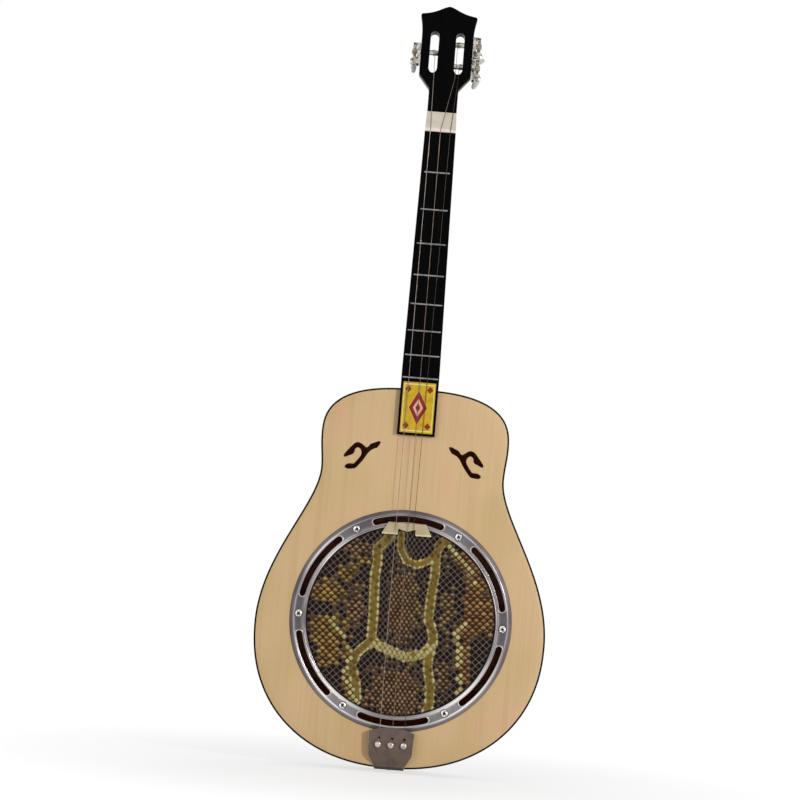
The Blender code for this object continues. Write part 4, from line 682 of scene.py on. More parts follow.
def snake_skin():
    """Stretched scaled skin: a pale rhombic net between flat dark scales, crossed by olive bands with cream edges,
    and raised spots and beads elsewhere.
    Each scale takes its colour whole from the grid's marks. The spotted scales carry a painted highlight on their
    upper half and painted shade on their lower half, the cream scales get a painted highlight too, and the skin's
    edge is painted near black as the ring's shadow."""
    made = Finish("snake_skin", Specular_IOR_Level=0.08)
    first, second, _ = made.split(made.along())
    inner_first, inner_second = first.inside(), second.inside()
    wander = made.noise(made.place(), 900.0, 3.0) - 0.5
    fill = 4.0 * inner_first * inner_second / (inner_first + inner_second + 0.001) + wander * 0.10
    olive, cream, bead, tan, gold, rust, tone = (
        made.mark(name) for name in ("olive", "cream", "bead", "tan", "gold", "rust", "tone"))
    spotted = tan.most(gold)
    band = olive.most(cream)
    scale = (fill - 0.04 * spotted - 0.11 * bead).step(0.15, 0.34)
    # high and low are painted light: high marks each scale's upper half for a painted highlight, low its lower half
    # for painted shade.
    high = (first.part() + second.part() - 1.0).step(-0.05, 0.45) * fill.step(0.35, 0.70)
    low = (first.part() + second.part() - 1.0).step(0.05, -0.65)
    line = made.mix(tone, rgb(114, 100, 92), rgb(84, 72, 66))
    line = made.mix(tan * 0.9, line, rgb(24, 15, 11))
    line = made.mix(gold * 0.92, line, rgb(44, 25, 10))
    line = made.mix(olive, line, rgb(124, 106, 58))
    line = made.mix(cream, line, rgb(112, 96, 54))
    line = made.mix(bead * 0.8, line, rgb(62, 44, 24))
    body = made.mix(tone, rgb(12, 5, 6), rgb(25, 14, 11))
    brown = made.mix(rust, made.mix(tone, rgb(68, 44, 30), rgb(136, 104, 74)),
                     made.mix(tone, rgb(58, 44, 28), rgb(132, 108, 68)))
    body = made.mix(tan, body, brown)
    ochre = made.mix(rust, made.mix(tone, rgb(82, 56, 24), rgb(168, 134, 72)),
                     made.mix(tone, rgb(70, 37, 22), rgb(150, 106, 66)))
    body = made.mix(gold, body, ochre)
    body = made.mix(olive, body, made.mix(tone, rgb(92, 73, 30), rgb(134, 108, 46)))
    body = made.mix(cream, body, made.mix(tone, rgb(160, 146, 90), rgb(198, 186, 132)))
    # Painted shade on the lower half of the spotted scales, then painted highlights on their upper half and on the
    # cream scales.
    body = made.mix(spotted * low * 0.95 * (1 - band), body, rgb(24, 13, 9))
    body = made.mix(high * 0.64 * spotted * (1 - band), body, rgb(200, 170, 120))
    body = made.mix(high * 0.5 * cream, body, rgb(216, 206, 160))
    mottle = made.noise(made.place(), 420.0, 4.0, 0.6)
    body = made.mix(mottle.step(0.50, 0.70) * 0.40 * olive.most(gold) * (1 - cream), body, rgb(74, 54, 20))
    colour = made.mix(scale, line, body)
    # The rim mark paints the skin's edge near black: a painted shadow of the ring.
    colour = made.mix(made.mark("rim"), colour, rgb(14, 9, 8))
    grain = made.noise(made.place(), 2200.0, 3.0)
    dome = scale * 0.75 + fill * 0.35
    return made.drive(Base_Color=colour, Roughness=0.52 - 0.14 * scale + 0.12 * grain,
                      Normal=made.bump(dome + 0.10 * grain, 0.00022, 0.55))


def bone(name, pale, warm, pale_edge, pale_edge_below, streak=1.0):
    """Smooth bone: cream, with long darker streaks and a dull half-gloss surface, and paler at its lower edge."""
    made = Finish("bone", name, Specular_IOR_Level=0.3)
    at = made.place()
    _, _, height = made.split(at)
    cloud = made.noise(at, 90.0, 3.0)
    pores = made.noise(made.stretch(at, (520.0, 520.0, 2400.0)), detail=2.0)
    base = made.mix(cloud.step(0.35, 0.70), pale, warm)
    base = made.mix(pores.step(0.60, 0.80) * 0.30 * streak, base, rgb(150, 138, 104))
    base = made.mix((height + (cloud - 0.5) * 0.004).step(pale_edge_below, pale_edge_below - 0.0012), base, pale_edge)
    return made.drive(Base_Color=base, Roughness=0.34 + 0.14 * cloud,
                      Normal=made.bump(pores, 0.00003, 0.5))


def yellow_panel():
    """A thin yellow plate with a pale line inside its edge, a plain red lozenge and four small ones round it."""
    made = Finish("yellow_panel", Specular_IOR_Level=0.25)
    across, up, _ = made.split(made.along())
    cloud = made.noise(made.place(), 140.0, 4.0, 0.6)
    fleck = made.noise(made.place(), 900.0, 2.0)
    base = made.mix(cloud.step(0.35, 0.70), rgb(212, 174, 34), rgb(190, 152, 20))
    base = made.mix(fleck.step(0.58, 0.75) * 0.30, base, rgb(226, 190, 66))
    side = across.size()
    height = (up * 2 - 1).size()
    rim = side.most(height)
    line = rim.step(0.885, 0.90) - rim.step(0.925, 0.94)
    base = made.mix(line, base, rgb(236, 222, 158))
    lozenge = side * 1.75 + height * 1.45
    halo = 1 - lozenge.step(1.03, 1.07)
    red = 1 - lozenge.step(0.96, 0.99)
    hollow = 1 - lozenge.step(0.52, 0.55)
    heart = 1 - lozenge.step(0.26, 0.29)
    corner = (side - 0.66).size() * 5.0 + (height - 0.72).size() * 7.0
    studs = 1 - corner.step(0.9, 1.1)
    base = made.mix(halo, base, rgb(228, 176, 88))
    maroon = made.mix(cloud, rgb(118, 30, 20), rgb(150, 48, 34))
    base = made.mix(red, base, maroon)
    base = made.mix(hollow, base, rgb(226, 176, 150))
    base = made.mix(heart, base, maroon)
    base = made.mix(studs, base, maroon)
    return made.drive(Base_Color=base, Roughness=0.30 + 0.20 * cloud,
                      Normal=made.bump(cloud + fleck * 0.3, 0.00004, 0.4))


def bronzed_tin():
    """Dark bronzed sheet: mottled brown and grey, rubbed to bright metal along its edges."""
    made = Finish("bronzed_tin", Specular_IOR_Level=0.3)
    at = made.place()
    cloud = made.noise(at, 70.0, 5.0, 0.62)
    grit = made.noise(at, 1300.0, 3.0)
    rub = made.noise(at, 260.0, 4.0)
    edge = (made.mark("rubbed") + (rub - 0.5) * 0.5).step(0.42, 0.78)
    base = made.mix(cloud.step(0.38, 0.66), rgb(112, 94, 84), rgb(94, 82, 79))
    _, _, height = made.split(at)
    bend = TAIL_Y - HANGER_Y
    base = made.mix((height - rub * 0.002).step(bend + 0.0030, bend) * 0.75, base, rgb(46, 38, 40))
    base = made.mix(grit.step(0.55, 0.75) * 0.5, base, rgb(64, 55, 50))
    base = made.mix(edge * 0.6, base, rgb(196, 184, 150))
    return made.drive(Base_Color=base, Metallic=0.25 + 0.5 * edge, Roughness=0.52 - 0.2 * edge + 0.12 * cloud,
                      Normal=made.bump(grit * 0.6 + cloud * 0.4, 0.00006, 0.6))


def wire(name, light, dark, wound):
    """Drawn or wound steel: where it is wound, close ridges run round the string."""
    made = Finish("string_steel", name, Metallic=1.0)
    turn, length, _ = made.split(made.along())
    ridge = (length * 5200.0 + turn).part()
    ridge = (ridge - 0.5).size() * 2.0
    tarnish = made.noise(made.join(length * 90.0, turn * 3.0), detail=3.0)
    base = made.mix(tarnish.step(0.40, 0.75), light, dark)
    if wound:
        base = made.mix(ridge.step(0.72, 0.98) * 0.6, base, rgb(50, 44, 38))
    height = ridge if wound else tarnish
    return made.drive(Base_Color=base, Roughness=0.22 + 0.20 * tarnish,
                      Normal=made.bump(height, 0.00005 if wound else 0.00001, 0.7))


def brass():
    """Cut brass under thin nickel, mottled in lighter and darker clouds."""
    made = Finish("brass_wheel", Metallic=1.0)
    at = made.place()
    cloud = made.noise(at, 320.0, 4.0)
    turned_marks = made.noise(made.stretch(at, (5200.0, 300.0, 300.0)), detail=2.0)
    base = made.mix(cloud.step(0.35, 0.70), rgb(186, 178, 158), rgb(112, 102, 84))
    return made.drive(Base_Color=base, Roughness=0.22 + 0.20 * cloud,
                      Normal=made.bump(turned_marks, 0.00002, 0.5))


def pearl():
    """Pearly plastic: folded veils of white and grey under a clear skin."""
    made = Finish("pearl_button", Coat_Weight=0.6, Coat_Roughness=0.06, Subsurface_Weight=0.12,
                  Subsurface_Radius=(0.004, 0.004, 0.004), Subsurface_Scale=0.4)
    at = made.place()
    warp = made.noise(at, 120.0, 2.0)
    veil = made.noise(made.stretch(at, (150.0, 150.0, 420.0)), 1.0, 4.0, 0.55, 2.2)
    base = made.mix(veil.step(0.35, 0.70), rgb(214, 210, 204), rgb(178, 174, 170))
    base = made.mix(warp.step(0.55, 0.80) * 0.6, base, rgb(232, 230, 222))
    return made.drive(Base_Color=base, Roughness=0.18 + 0.14 * veil, Normal=made.bump(veil, 0.00004, 0.4))


def bare_wood(name, pale, dark, along=(70.0, 70.0, 9.0)):
    """Bare sanded wood for what is inside the box."""
    made = Finish("inner_wood", name)
    at = made.place()
    grain = made.noise(made.stretch(at, along), detail=4.0, roughness=0.6)
    fine = made.noise(made.stretch(at, tuple(8 * k for k in along)), detail=2.0)
    base = made.mix(grain.step(0.35, 0.70), pale, dark)
    return made.drive(Base_Color=base, Roughness=0.62 + 0.15 * fine, Normal=made.bump(fine, 0.0001, 0.5))


SPRUCE = spruce()
LACQUER = lacquer("gloss_black", 0.10)
BACK_LACQUER = lacquer("back_black", 0.10, rgb(206, 104, 60))
NECK_LACQUER = lacquer("neck_black", 0.03)
# The dark clouds on this nickel stand partly for tarnish and partly for painted shade and painted dark reflections,
# spread at random.
NICKEL = nickel("polished_nickel", light=rgb(202, 198, 190), dull=rgb(74, 69, 63))
PIN_NICKEL = nickel("pin_nickel", light=rgb(214, 200, 192), dull=rgb(160, 146, 140))
SCREW_NICKEL = screw_nickel()
RING_NICKEL = ring_nickel()
SKIN = snake_skin()
BRIDGE_BONE = bone("bridge_bone", rgb(196, 180, 146), rgb(184, 166, 132), rgb(230, 214, 174), -0.5856)
NUT_BONE = bone("nut_bone", rgb(214, 205, 190), rgb(206, 196, 176), rgb(238, 225, 212), -0.0578, 0.6)
PANEL = yellow_panel()
TIN = bronzed_tin()
FRET_WIRE = nickel("fret_wire", "fret_wire", rgb(150, 150, 152), rgb(112, 112, 114), 0.22)
WOUND_WIRE = wire("wound_string", rgb(158, 144, 134), rgb(122, 110, 102), True)
PLAIN_WIRE = wire("plain_string", rgb(130, 113, 100), rgb(96, 82, 72), False)
# The third string is the same plain steel as the second, drawn darker as painted shade.
SHADED_PLAIN_WIRE = wire("shaded_plain_string", rgb(74, 63, 56), rgb(52, 44, 40), False)
BRASS = brass()
PEARL = pearl()
INNER_WOOD = bare_wood("inner_wood", rgb(190, 156, 112), rgb(160, 122, 80))
# The hoop under the ring's slots is drawn near black so that the slots look dark: painted shade.
HOOP_WOOD = bare_wood("shade_dark_hoop", rgb(30, 20, 15), rgb(18, 12, 10))

for node in ("top_lining", "back_lining", "neck_block", "tail_block", "top_brace", "back_brace_1",
             "back_brace_2"):
    frame["nodes"][node].data.materials.clear()
    frame["nodes"][node].data.materials.append(INNER_WOOD.material)
frame["nodes"]["skin_hoop"].data.materials.clear()
frame["nodes"]["skin_hoop"].data.materials.append(HOOP_WOOD.material)


# Sound box


def superellipse(half_width, height, roundness, centre_y, angle):
    """x = half width times sin to the power 2/n, y = centre plus height times cos to the power 2/n."""
    power = 2.0 / roundness
    return np.stack([half_width * np.abs(np.sin(angle)) ** power,
                     centre_y + height * np.abs(np.cos(angle)) ** power], -1)


def cubic(start, start_pull, end_pull, end, count):
    """A cubic curve from start to end, without its last point."""
    t = np.linspace(0.0, 1.0, count, endpoint=False)[:, None]
    corners = [np.array(c) for c in (start, start_pull, end_pull, end)]
    return ((1 - t) ** 3 * corners[0] + 3 * t * (1 - t) ** 2 * corners[1]
            + 3 * t**2 * (1 - t) * corners[2] + t**3 * corners[3])


def body_outline(inset=0.0):
    """The box's outline: a superellipse for each bout, joined by cubic curves through the waist."""
    widest, waist = (LOWER_BOUT / 2, LOWER_BOUT_Y), (WAIST / 2, WAIST_Y)
    shoulder = (UPPER_BOUT / 2, UPPER_BOUT_Y)
    rise = (UPPER_BOUT_Y - WAIST_Y) / 3
    quarter = 0.5 * math.pi
    half = np.concatenate([
        superellipse(widest[0], TAIL_Y - LOWER_BOUT_Y, LOWER_ROUNDNESS, LOWER_BOUT_Y,
                     np.linspace(0.0, quarter, 66, endpoint=False)),
        cubic(widest, (widest[0], widest[1] + BOUT_SWEEP), (waist[0], waist[1] - WAIST_SWEEP), waist, 42),
        cubic(waist, (waist[0], waist[1] + rise), (shoulder[0], shoulder[1] - rise), shoulder, 15),
        superellipse(shoulder[0], TOP_Y - UPPER_BOUT_Y, UPPER_ROUNDNESS, UPPER_BOUT_Y,
                     np.linspace(quarter, 0.0, 56)),
    ])
    half[-1] = (0.0, TOP_Y)
    loop = np.concatenate([half, half[-2:0:-1] * (-1, 1)])
    along = np.roll(loop, -1, 0) - np.roll(loop, 1, 0)
    along /= np.linalg.norm(along, axis=1, keepdims=True)
    return loop + inset * np.stack([-along[:, 1], along[:, 0]], -1)


def strip_profile(width, low, high, radius):
    """Section of a binding strip: a rectangle whose outer corner is rounded."""
    angle = np.linspace(0.0, 0.5 * math.pi, 6)
    corner = np.stack([radius * (np.cos(angle) - 1), high - radius * (1 - np.sin(angle))], -1)
    return np.concatenate([[(-width, low), (0.0, low)], corner, [(-width, high), (-width, low)]])


OUTLINE = body_outline()
back_low = -BODY_DEPTH

front_inset = BINDING_WIDTH + GAP
board_edge = carried(OUTLINE, edge_profile(front_inset, -BOARD_THICKNESS, 0.0, 0.00025, 2))
angles = np.arctan2(board_edge[0, :, 1], board_edge[0, :, 0])
hole = np.stack([BOARD_HOLE_RADIUS * np.cos(angles), BOARD_HOLE_RADIUS * np.sin(angles)], -1)
shares = np.linspace(0.0, 1.0, 7)[:-1, None, None]
flat = (1 - shares) * hole + shares * board_edge[0, :, :2]
under_face = stack(flat[..., 0], flat[..., 1], -BOARD_THICKNESS)
over_face = stack(flat[::-1, :, 0], flat[::-1, :, 1], 0.0)
soundboard = piece(
    "soundboard_face", ROOT, SPRUCE,
    [np.concatenate([under_face, board_edge, over_face, under_face[:1]])], replaces=("soundboard",))
left_hole = smooth_loop(np.array(SOUND_HOLE) * SOUND_HOLE_LENGTH + (-SOUND_HOLE_X, SOUND_HOLE_Y), 5)
left_hole = carried(left_hole, [(SOUND_HOLE_FILING, 0.0)])[0, :-1, :2]
cut(soundboard, [prism(left_hole, -0.006, 0.003), prism(left_hole * (-1, 1), -0.006, 0.003)])
eased(soundboard, 0.0003, 2, 50.0)

piece("back_face", ROOT, BACK_LACQUER,
      [plate(OUTLINE, (0.0, 0.05), back_low, back_low + BOARD_THICKNESS, 0.0004, front_inset)],
      replaces=("back_plate",))
piece("top_edge_strip", ROOT, LACQUER,
      [carried(OUTLINE, strip_profile(BINDING_WIDTH, -BOARD_THICKNESS, 0.0, 0.0008)).swapaxes(0, 1)],
      replaces=("top_binding",))
back_strip = strip_profile(BINDING_WIDTH, -BOARD_THICKNESS, 0.0, 0.0008) * (1, -1) + (0, back_low)
piece("back_edge_strip", ROOT, LACQUER, [carried(OUTLINE, back_strip).swapaxes(0, 1)],
      replaces=("back_binding",))
side_low, side_high = back_low + BOARD_THICKNESS + GAP, -BOARD_THICKNESS - GAP
side_section = np.concatenate([edge_profile(0.0, side_low, side_high, 0.0004, 2),
                               [(-RIM_WALL, side_high), (-RIM_WALL, side_low)],
                               edge_profile(0.0, side_low, side_high, 0.0004, 2)[:1]])
piece("bent_side", ROOT, LACQUER, [carried(OUTLINE, side_section).swapaxes(0, 1)], replaces=("rim",))


# Skin


def distance_to(lines, x, y):
    """Least distance from each point to the polylines, in millimetres."""
    least = np.full(x.shape, 1e3)
    for line in lines:
        for (x0, y0), (x1, y1) in zip(line, line[1:]):
            dx, dy = x1 - x0, y1 - y0
            share = np.clip(((x - x0) * dx + (y - y0) * dy) / (dx * dx + dy * dy), 0.0, 1.0)
            least = np.minimum(least, np.hypot(x - x0 - share * dx, y - y0 - share * dy))
    return least


def hashed(first, second, seed):
    """A number from 0 to 1 for each pair of whole numbers, always the same one."""
    mixed = np.sin(first * 12.9898 + second * 78.233 + seed * 37.719) * 43758.5453
    return mixed - np.floor(mixed)


def blot(x, y, centre_x, centre_y, reach_x, reach_y):
    """A soft oval patch: 1 at its centre, falling as a bell curve."""
    return np.exp(-(((x - centre_x) / reach_x) ** 2) - ((y - centre_y) / reach_y) ** 2)


def fade(value, low, high):
    share = np.clip((value - low) / (high - low), 0.0, 1.0)
    return share * share * (3 - 2 * share)


def skin_net(x, y):
    """The net's two coordinates, y/9 plus and minus a sideways one that runs faster near the spine."""
    bent_x = x + 0.030 * y + 1.4 * np.sin(y / 38.0 + 1.0)
    bent_y = y + 1.8 * np.sin(x / 46.0 + 0.6)
    sideways = bent_x / 9.4 + 1.9 * np.tanh(bent_x / 30.0)
    width = 1.0 / (1 / 9.4 + 1.9 / 30.0 / np.cosh(bent_x / 30.0) ** 2)
    return bent_y / 9.0 + sideways, bent_y / 9.0 - sideways, width


def skin_marks(x, y):
    """Colour marks for points in millimetres: each scale takes what its own middle asks for."""
    first, second, width = skin_net(x, y)
    cell_first, cell_second = np.floor(first), np.floor(second)
    gap_first, gap_second = cell_first + 0.5 - first, cell_second + 0.5 - second
    middle_x = x + 0.5 * (gap_first - gap_second) * width
    middle_y = y + 4.5 * (gap_first + gap_second)
    luck = hashed(cell_first, cell_second, 1.0)
    near = 0.65 * distance_to(BANDS, x, y) + 0.35 * distance_to(BANDS, middle_x, middle_y)
    near = near + 1.3 * fade(distance_to(BANDS[4:], x, y), 9.0, 6.0) * (middle_x < 36)
    olive = 1 - fade(near, 5.9, 6.7)
    cream = olive * fade(near, 3.9, 5.0)
    crossbar = 1 - fade(distance_to(BANDS[1:2], middle_x, middle_y), 5.5, 8.0)
    cream = np.maximum(cream, 0.85 * crossbar * (luck > 0.3))
    mottled = fade(y, 84.0, 98.0) * (np.abs(x) < 70)
    olive, cream = olive * (1 - 0.55 * mottled * (luck > 0.4)), cream * (1 - 0.6 * mottled)
    beads = (1 - fade(distance_to(BEAD_ROWS, middle_x, middle_y), 3.2, 4.2)) * (luck > 0.15)
    cream = np.maximum(cream, beads)
    tan = (1.3 * blot(middle_x, middle_y, 2, 22, 21, 52) + 1.3 * blot(middle_x, middle_y, -2, -96, 34, 36)
           + 0.9 * blot(middle_x, middle_y, -61, 16, 14, 30) + 0.75 * blot(middle_x, middle_y, 60, 18, 12, 34)
           + 0.8 * blot(middle_x, middle_y, 62, -66, 12, 34) + 0.8 * blot(middle_x, middle_y, -68, 90, 30, 13)
           + 0.6 * blot(middle_x, middle_y, 60, 84, 12, 14))
    tan = fade(tan + 0.55 * (luck - 0.5), 0.34, 0.62)
    gold = (1.3 * blot(middle_x, middle_y, -98, 30, 26, 17) + 1.3 * blot(middle_x, middle_y, -96, -18, 26, 20)
            + 1.1 * blot(middle_x, middle_y, -92, -54, 14, 16) + 1.1 * blot(middle_x, middle_y, -60, -74, 10, 34)
            + 1.4 * blot(middle_x, middle_y, 104, 16, 22, 26) + 1.1 * blot(middle_x, middle_y, 93, 50, 12, 24)
            + 1.2 * blot(middle_x, middle_y, 87, -42, 8, 40) + 1.0 * blot(middle_x, middle_y, -76, 58, 15, 9)
            + 0.9 * blot(middle_x, middle_y, -55, 74, 14, 8) + 1.0 * blot(middle_x, middle_y, 76, 83, 13, 12)
            - 1.2 * blot(middle_x, middle_y, -106, 9, 12, 7))
    gold = fade(gold + 0.5 * (luck - 0.5), 0.40, 0.60)
    rust = fade(middle_x + 30 * (hashed(cell_first, cell_second, 2.0) - 0.5), 20.0, 70.0)
    rust = rust * np.where(hashed(cell_first, cell_second, 4.0) > 0.45, 1.0, 0.3)
    rust = np.where(np.abs(middle_x) < 60, fade(middle_x + 0.25 * middle_y + 24 * (luck - 0.5), 8.0, 24.0), rust)
    # The rim mark is the skin's edge under the ring, where the finish paints the ring's shadow.
    return first, second, {"olive": olive * (1 - beads), "cream": cream, "bead": beads, "tan": tan * (1 - olive),
                           "gold": gold * (1 - olive), "rust": rust, "tone": hashed(cell_first, cell_second, 3.0),
                           "rim": fade(np.hypot(x, y), 120.4, 122.6)}


# A square grid pressed into a disc: x = u sqrt(1 - v^2/2) and y = v sqrt(1 - u^2/2)
side_count = 301
u, v = np.meshgrid(np.linspace(-1, 1, side_count), np.linspace(-1, 1, side_count), indexing="ij")
skin_x = SKIN_RADIUS * u * np.sqrt(1 - v * v / 2)
skin_y = SKIN_RADIUS * v * np.sqrt(1 - u * u / 2)
net_first, net_second, marks = skin_marks(1000 * skin_x, 1000 * skin_y)
inside = np.minimum(0.5 - np.abs(net_first % 1.0 - 0.5), 0.5 - np.abs(net_second % 1.0 - 0.5))
busy = np.maximum(marks["tan"], np.maximum(marks["gold"], marks["cream"]))
raised = fade(inside, 0.02, 0.22) * (0.55 + 0.45 * busy)
skin_z = SKIN_LEVEL + SCALE_RELIEF * raised * (1 - fade(np.hypot(skin_x, skin_y), 0.1205, 0.1222))
skin_top = stack(skin_x, skin_y, skin_z)
border = np.concatenate([skin_top[:-1, 0], skin_top[-1, :-1], skin_top[:0:-1, -1], skin_top[0, ::-1]])
skirt = np.stack([border, border - (0, 0, SKIN_THICKNESS), border * 0 + (0, 0, SKIN_LEVEL - SKIN_THICKNESS)])
flat_marks = {name: [values, np.zeros(skirt.shape[:2])] for name, values in marks.items()}
piece("stretched_skin", ROOT, SKIN, [skin_top, skirt],
      uv=[stack(net_first, net_second), np.zeros((*skirt.shape[:2], 2))], marks=flat_marks,
      replaces=("snake_skin",), crease=70.0)


# Ring and its screws


def slot_distance(angle, radius):
    """Distance outside the nearest slot: a slot is an arc of the slot circle, swollen by half its width."""
    sixth = math.pi / 3
    off = np.abs((angle - 0.5 * sixth + 0.5 * sixth) % sixth - 0.5 * sixth)
    past = np.maximum(off - SLOT_HALF_ANGLE, 0.0)
    to_end = np.hypot(radius * np.cos(past) - SLOT_RADIUS, radius * np.sin(past))
    return np.where(off <= SLOT_HALF_ANGLE, np.abs(radius - SLOT_RADIUS), to_end) - SLOT_WIDTH / 2


def ring_height(radius):
    """Height of the ring's upper side: straight runs between the pressing's corners, with the corners softened."""
    corners = np.array([
        (RING_INNER_RADIUS, 0.0003), (RING_INNER_RADIUS + 0.0003, 0.0012), (RING_INNER_RADIUS + 0.0010, 0.0018),
        (RING_INNER_RADIUS + 0.0018, 0.0012), (RING_INNER_RADIUS + 0.0026, 0.0010),
        (BEAD_RADIUS - 0.0007, 0.0020), (BEAD_RADIUS, BEAD_HEIGHT + 0.0001), (BEAD_RADIUS + 0.0006, 0.0020),
        (BEAD_RADIUS + 0.0011, 0.0015), (CHANNEL_START, CHANNEL_LEVEL), (CHANNEL_END, CHANNEL_LEVEL),
        (CHANNEL_END + 0.0006, 0.0029), (CREST_RADIUS, CREST_HEIGHT), (CREST_RADIUS + 0.0006, 0.0031),
        (0.1410, 0.0022), (0.1424, 0.0017), (0.1438, 0.0013), (RING_RADIUS, 0.0003)])
    fine = np.linspace(RING_INNER_RADIUS, RING_RADIUS, 800)
    return np.interp(radius, fine, rounded(np.interp(fine, corners[:, 0], corners[:, 1]), 0.014))


ring_angles = ring_of(1008)[None, :]
ring_radii = np.linspace(RING_INNER_RADIUS, RING_RADIUS, 62)[:, None]
beyond_slot = slot_distance(ring_angles, ring_radii)
channel = (fade(ring_radii, CHANNEL_START - 0.0005, CHANNEL_START + 0.0001)
           * (1 - fade(ring_radii, CHANNEL_END - 0.0002, CHANNEL_END + 0.0004)))
# The lip is a real raised edge round each slot; the finish paints it pale as a highlight.
lip = np.exp(-((beyond_slot - 0.0006) / 0.0006) ** 2) * channel
over = ring_height(ring_radii) + 0.00055 * lip
under_radii = np.array([0.1438, 0.1416, 0.1389, 0.1372, 0.1330, 0.1286, 0.1268, 0.1243])[:, None]
under = np.maximum(ring_height(under_radii) - RING_SHEET, GAP)
grid_radii = np.concatenate([ring_radii, under_radii, ring_radii[:1]])
grid_heights = np.concatenate([over, under + 0 * ring_angles, over[:1]])
ring_grid = stack(grid_radii * np.cos(ring_angles), grid_radii * np.sin(ring_angles), grid_heights)
# Painted shadow round each screw head: a dark band just outside its edge.
off_screw = (ring_angles + math.pi / 6) % (math.pi / 3) - math.pi / 6
to_screw = np.hypot(ring_radii * np.cos(off_screw) - SLOT_RADIUS, ring_radii * np.sin(off_screw))
grime = 0.8 * (1 - fade(to_screw, SCREW_HEAD_RADIUS + 0.0001, SCREW_HEAD_RADIUS + 0.0015))
around_ring = np.degrees(ring_angles)
# Painted lamp reflections: bright patches at set angles round the ring, each with its middle, reach and strength.
polish = sum(share * np.exp(-(((around_ring - middle + 180) % 360 - 180) / reach) ** 2)
             for middle, reach, share in ((232, 20, 1.0), (312, 26, 1.0), (140, 16, 0.6), (62, 12, 0.5)))
ring_marks = {"lip": lip, "grime": grime, "polish": np.clip(polish, 0, 1) + 0 * to_screw}
hidden = np.zeros((len(under_radii) + 1, ring_angles.shape[1]))
ring = piece("pressed_ring", ROOT, RING_NICKEL, [ring_grid],
             uv=[stack(ring_angles * SLOT_RADIUS, grid_radii)],
             marks={name: [np.concatenate([values, hidden])] for name, values in ring_marks.items()},
             replaces=("cover_ring",), crease=50.0)


def slot_outline(middle):
    """Round a slot: along its outer arc, round one end, back along the inner arc and round the other end."""
    arc = np.linspace(-SLOT_HALF_ANGLE, SLOT_HALF_ANGLE, 40)
    turn = np.linspace(0, math.pi, 17)[1:-1]
    outer = (SLOT_RADIUS + SLOT_WIDTH / 2) * np.exp(1j * arc)
    inner = (SLOT_RADIUS - SLOT_WIDTH / 2) * np.exp(1j * arc[::-1])
    end = np.exp(1j * SLOT_HALF_ANGLE) * (SLOT_RADIUS + SLOT_WIDTH / 2 * np.exp(1j * turn))
    start = np.exp(-1j * SLOT_HALF_ANGLE) * (SLOT_RADIUS - SLOT_WIDTH / 2 * np.exp(1j * turn))
    loop = np.concatenate([outer, end, inner, start]) * np.exp(1j * middle)
    return np.stack([loop.real, loop.imag], -1)


cut(ring, [prism(slot_outline(math.radians(30 + 60 * number)), -0.002, 0.006) for number in range(6)], 50.0)


def cross_head(count=57):
    """A pan head with a cross recess: a dome on a square grid pressed into a disc, less the cross, whose depth
    falls away from each arm's middle line; then a skirt down to the head's underside. Gives the grids and,
    for each, how deep in the cross it is."""
    a, b = np.meshgrid(np.linspace(-1, 1, count), np.linspace(-1, 1, count), indexing="ij")
    x, y = a * np.sqrt(1 - b * b / 2), b * np.sqrt(1 - a * a / 2)
    radius = np.hypot(x, y)
    dome = SCREW_HEAD_HEIGHT * (1 - 0.62 * np.clip(radius, 0, 1) ** 3.2)
    arm = np.minimum(np.abs(x), np.abs(y)) * SCREW_HEAD_RADIUS
    reach = np.maximum(np.abs(x), np.abs(y)) * SCREW_HEAD_RADIUS
    deep = (1 - fade(arm, 0.00045, 0.00078)) * (1 - fade(reach, 0.0018, 0.0033))
    deep = np.maximum(deep, 1 - fade(radius * SCREW_HEAD_RADIUS, 0.0008, 0.0013))
    top = stack(SCREW_HEAD_RADIUS * x, SCREW_HEAD_RADIUS * y, dome - 0.0013 * deep)
    edge = np.concatenate([top[:-1, 0], top[-1, :-1], top[:0:-1, -1], top[0, ::-1]])
    skirt = np.stack([edge, edge * (1, 1, 0) + (0, 0, 0.0003), edge * (0.96, 0.96, 0), edge * (0, 0, 0)])
    return [top, skirt], [deep, np.zeros(skirt.shape[:2])]


def placed(grids, matrix):
    """Grids moved by a matrix of the face frame."""
    turn, shift = np.array(matrix.to_3x3()), np.array(matrix.translation)
    return [grid @ turn.T + shift for grid in grids]


def shank(length):
    """A screw's shank: its thread is a ridge whose height follows the turn and the depth."""
    depth = np.linspace(0.0, length, 60)[:, None]
    angle = ring_of(16)[None, :]
    ridge = 0.5 + 0.5 * np.cos(2 * math.pi * (depth / 0.0012) - angle)
    taper = np.clip((length - depth) / 0.003, 0.05, 1.0)
    radius = (0.0012 + 0.0004 * ridge) * taper
    return capped(stack(radius * np.cos(angle), radius * np.sin(angle), -depth))


def screw(name, node, length, matrix):
    """A screw with its cross-recessed head's underside at the matrix's origin and its shank down that Z."""
    head, deep = cross_head()
    stem = shank(length)
    piece(name, ROOT, SCREW_NICKEL, placed([*head, stem], matrix),
          marks={"deep": [*deep, np.zeros(stem.shape[:2])]}, replaces=(node,), crease=28.0)


for number, turn in enumerate((24, 61, 10, 47, 80, 33)):
    spot = Matrix.Rotation(math.radians(60 * number), 4, "Z") @ Matrix.Translation(
        (SLOT_RADIUS, 0.0, CHANNEL_LEVEL + GAP)) @ Matrix.Rotation(math.radians(turn), 4, "Z")
    screw(f"ring_screw_head_{number + 1}", f"ring_screw_{number + 1}", 0.0118, spot)


# Neck, fingerboard, frets, panel and nut


def neck_half_width(y):
    """Half the neck's width: level over the box, then straight tapers to the nut and to the peghead."""
    return np.interp(y, [TAPER_START_Y, NUT_Y, NECK_END_Y],
                     [NECK_WIDTH / 2, NUT_WIDTH / 2, NECK_END_WIDTH / 2])


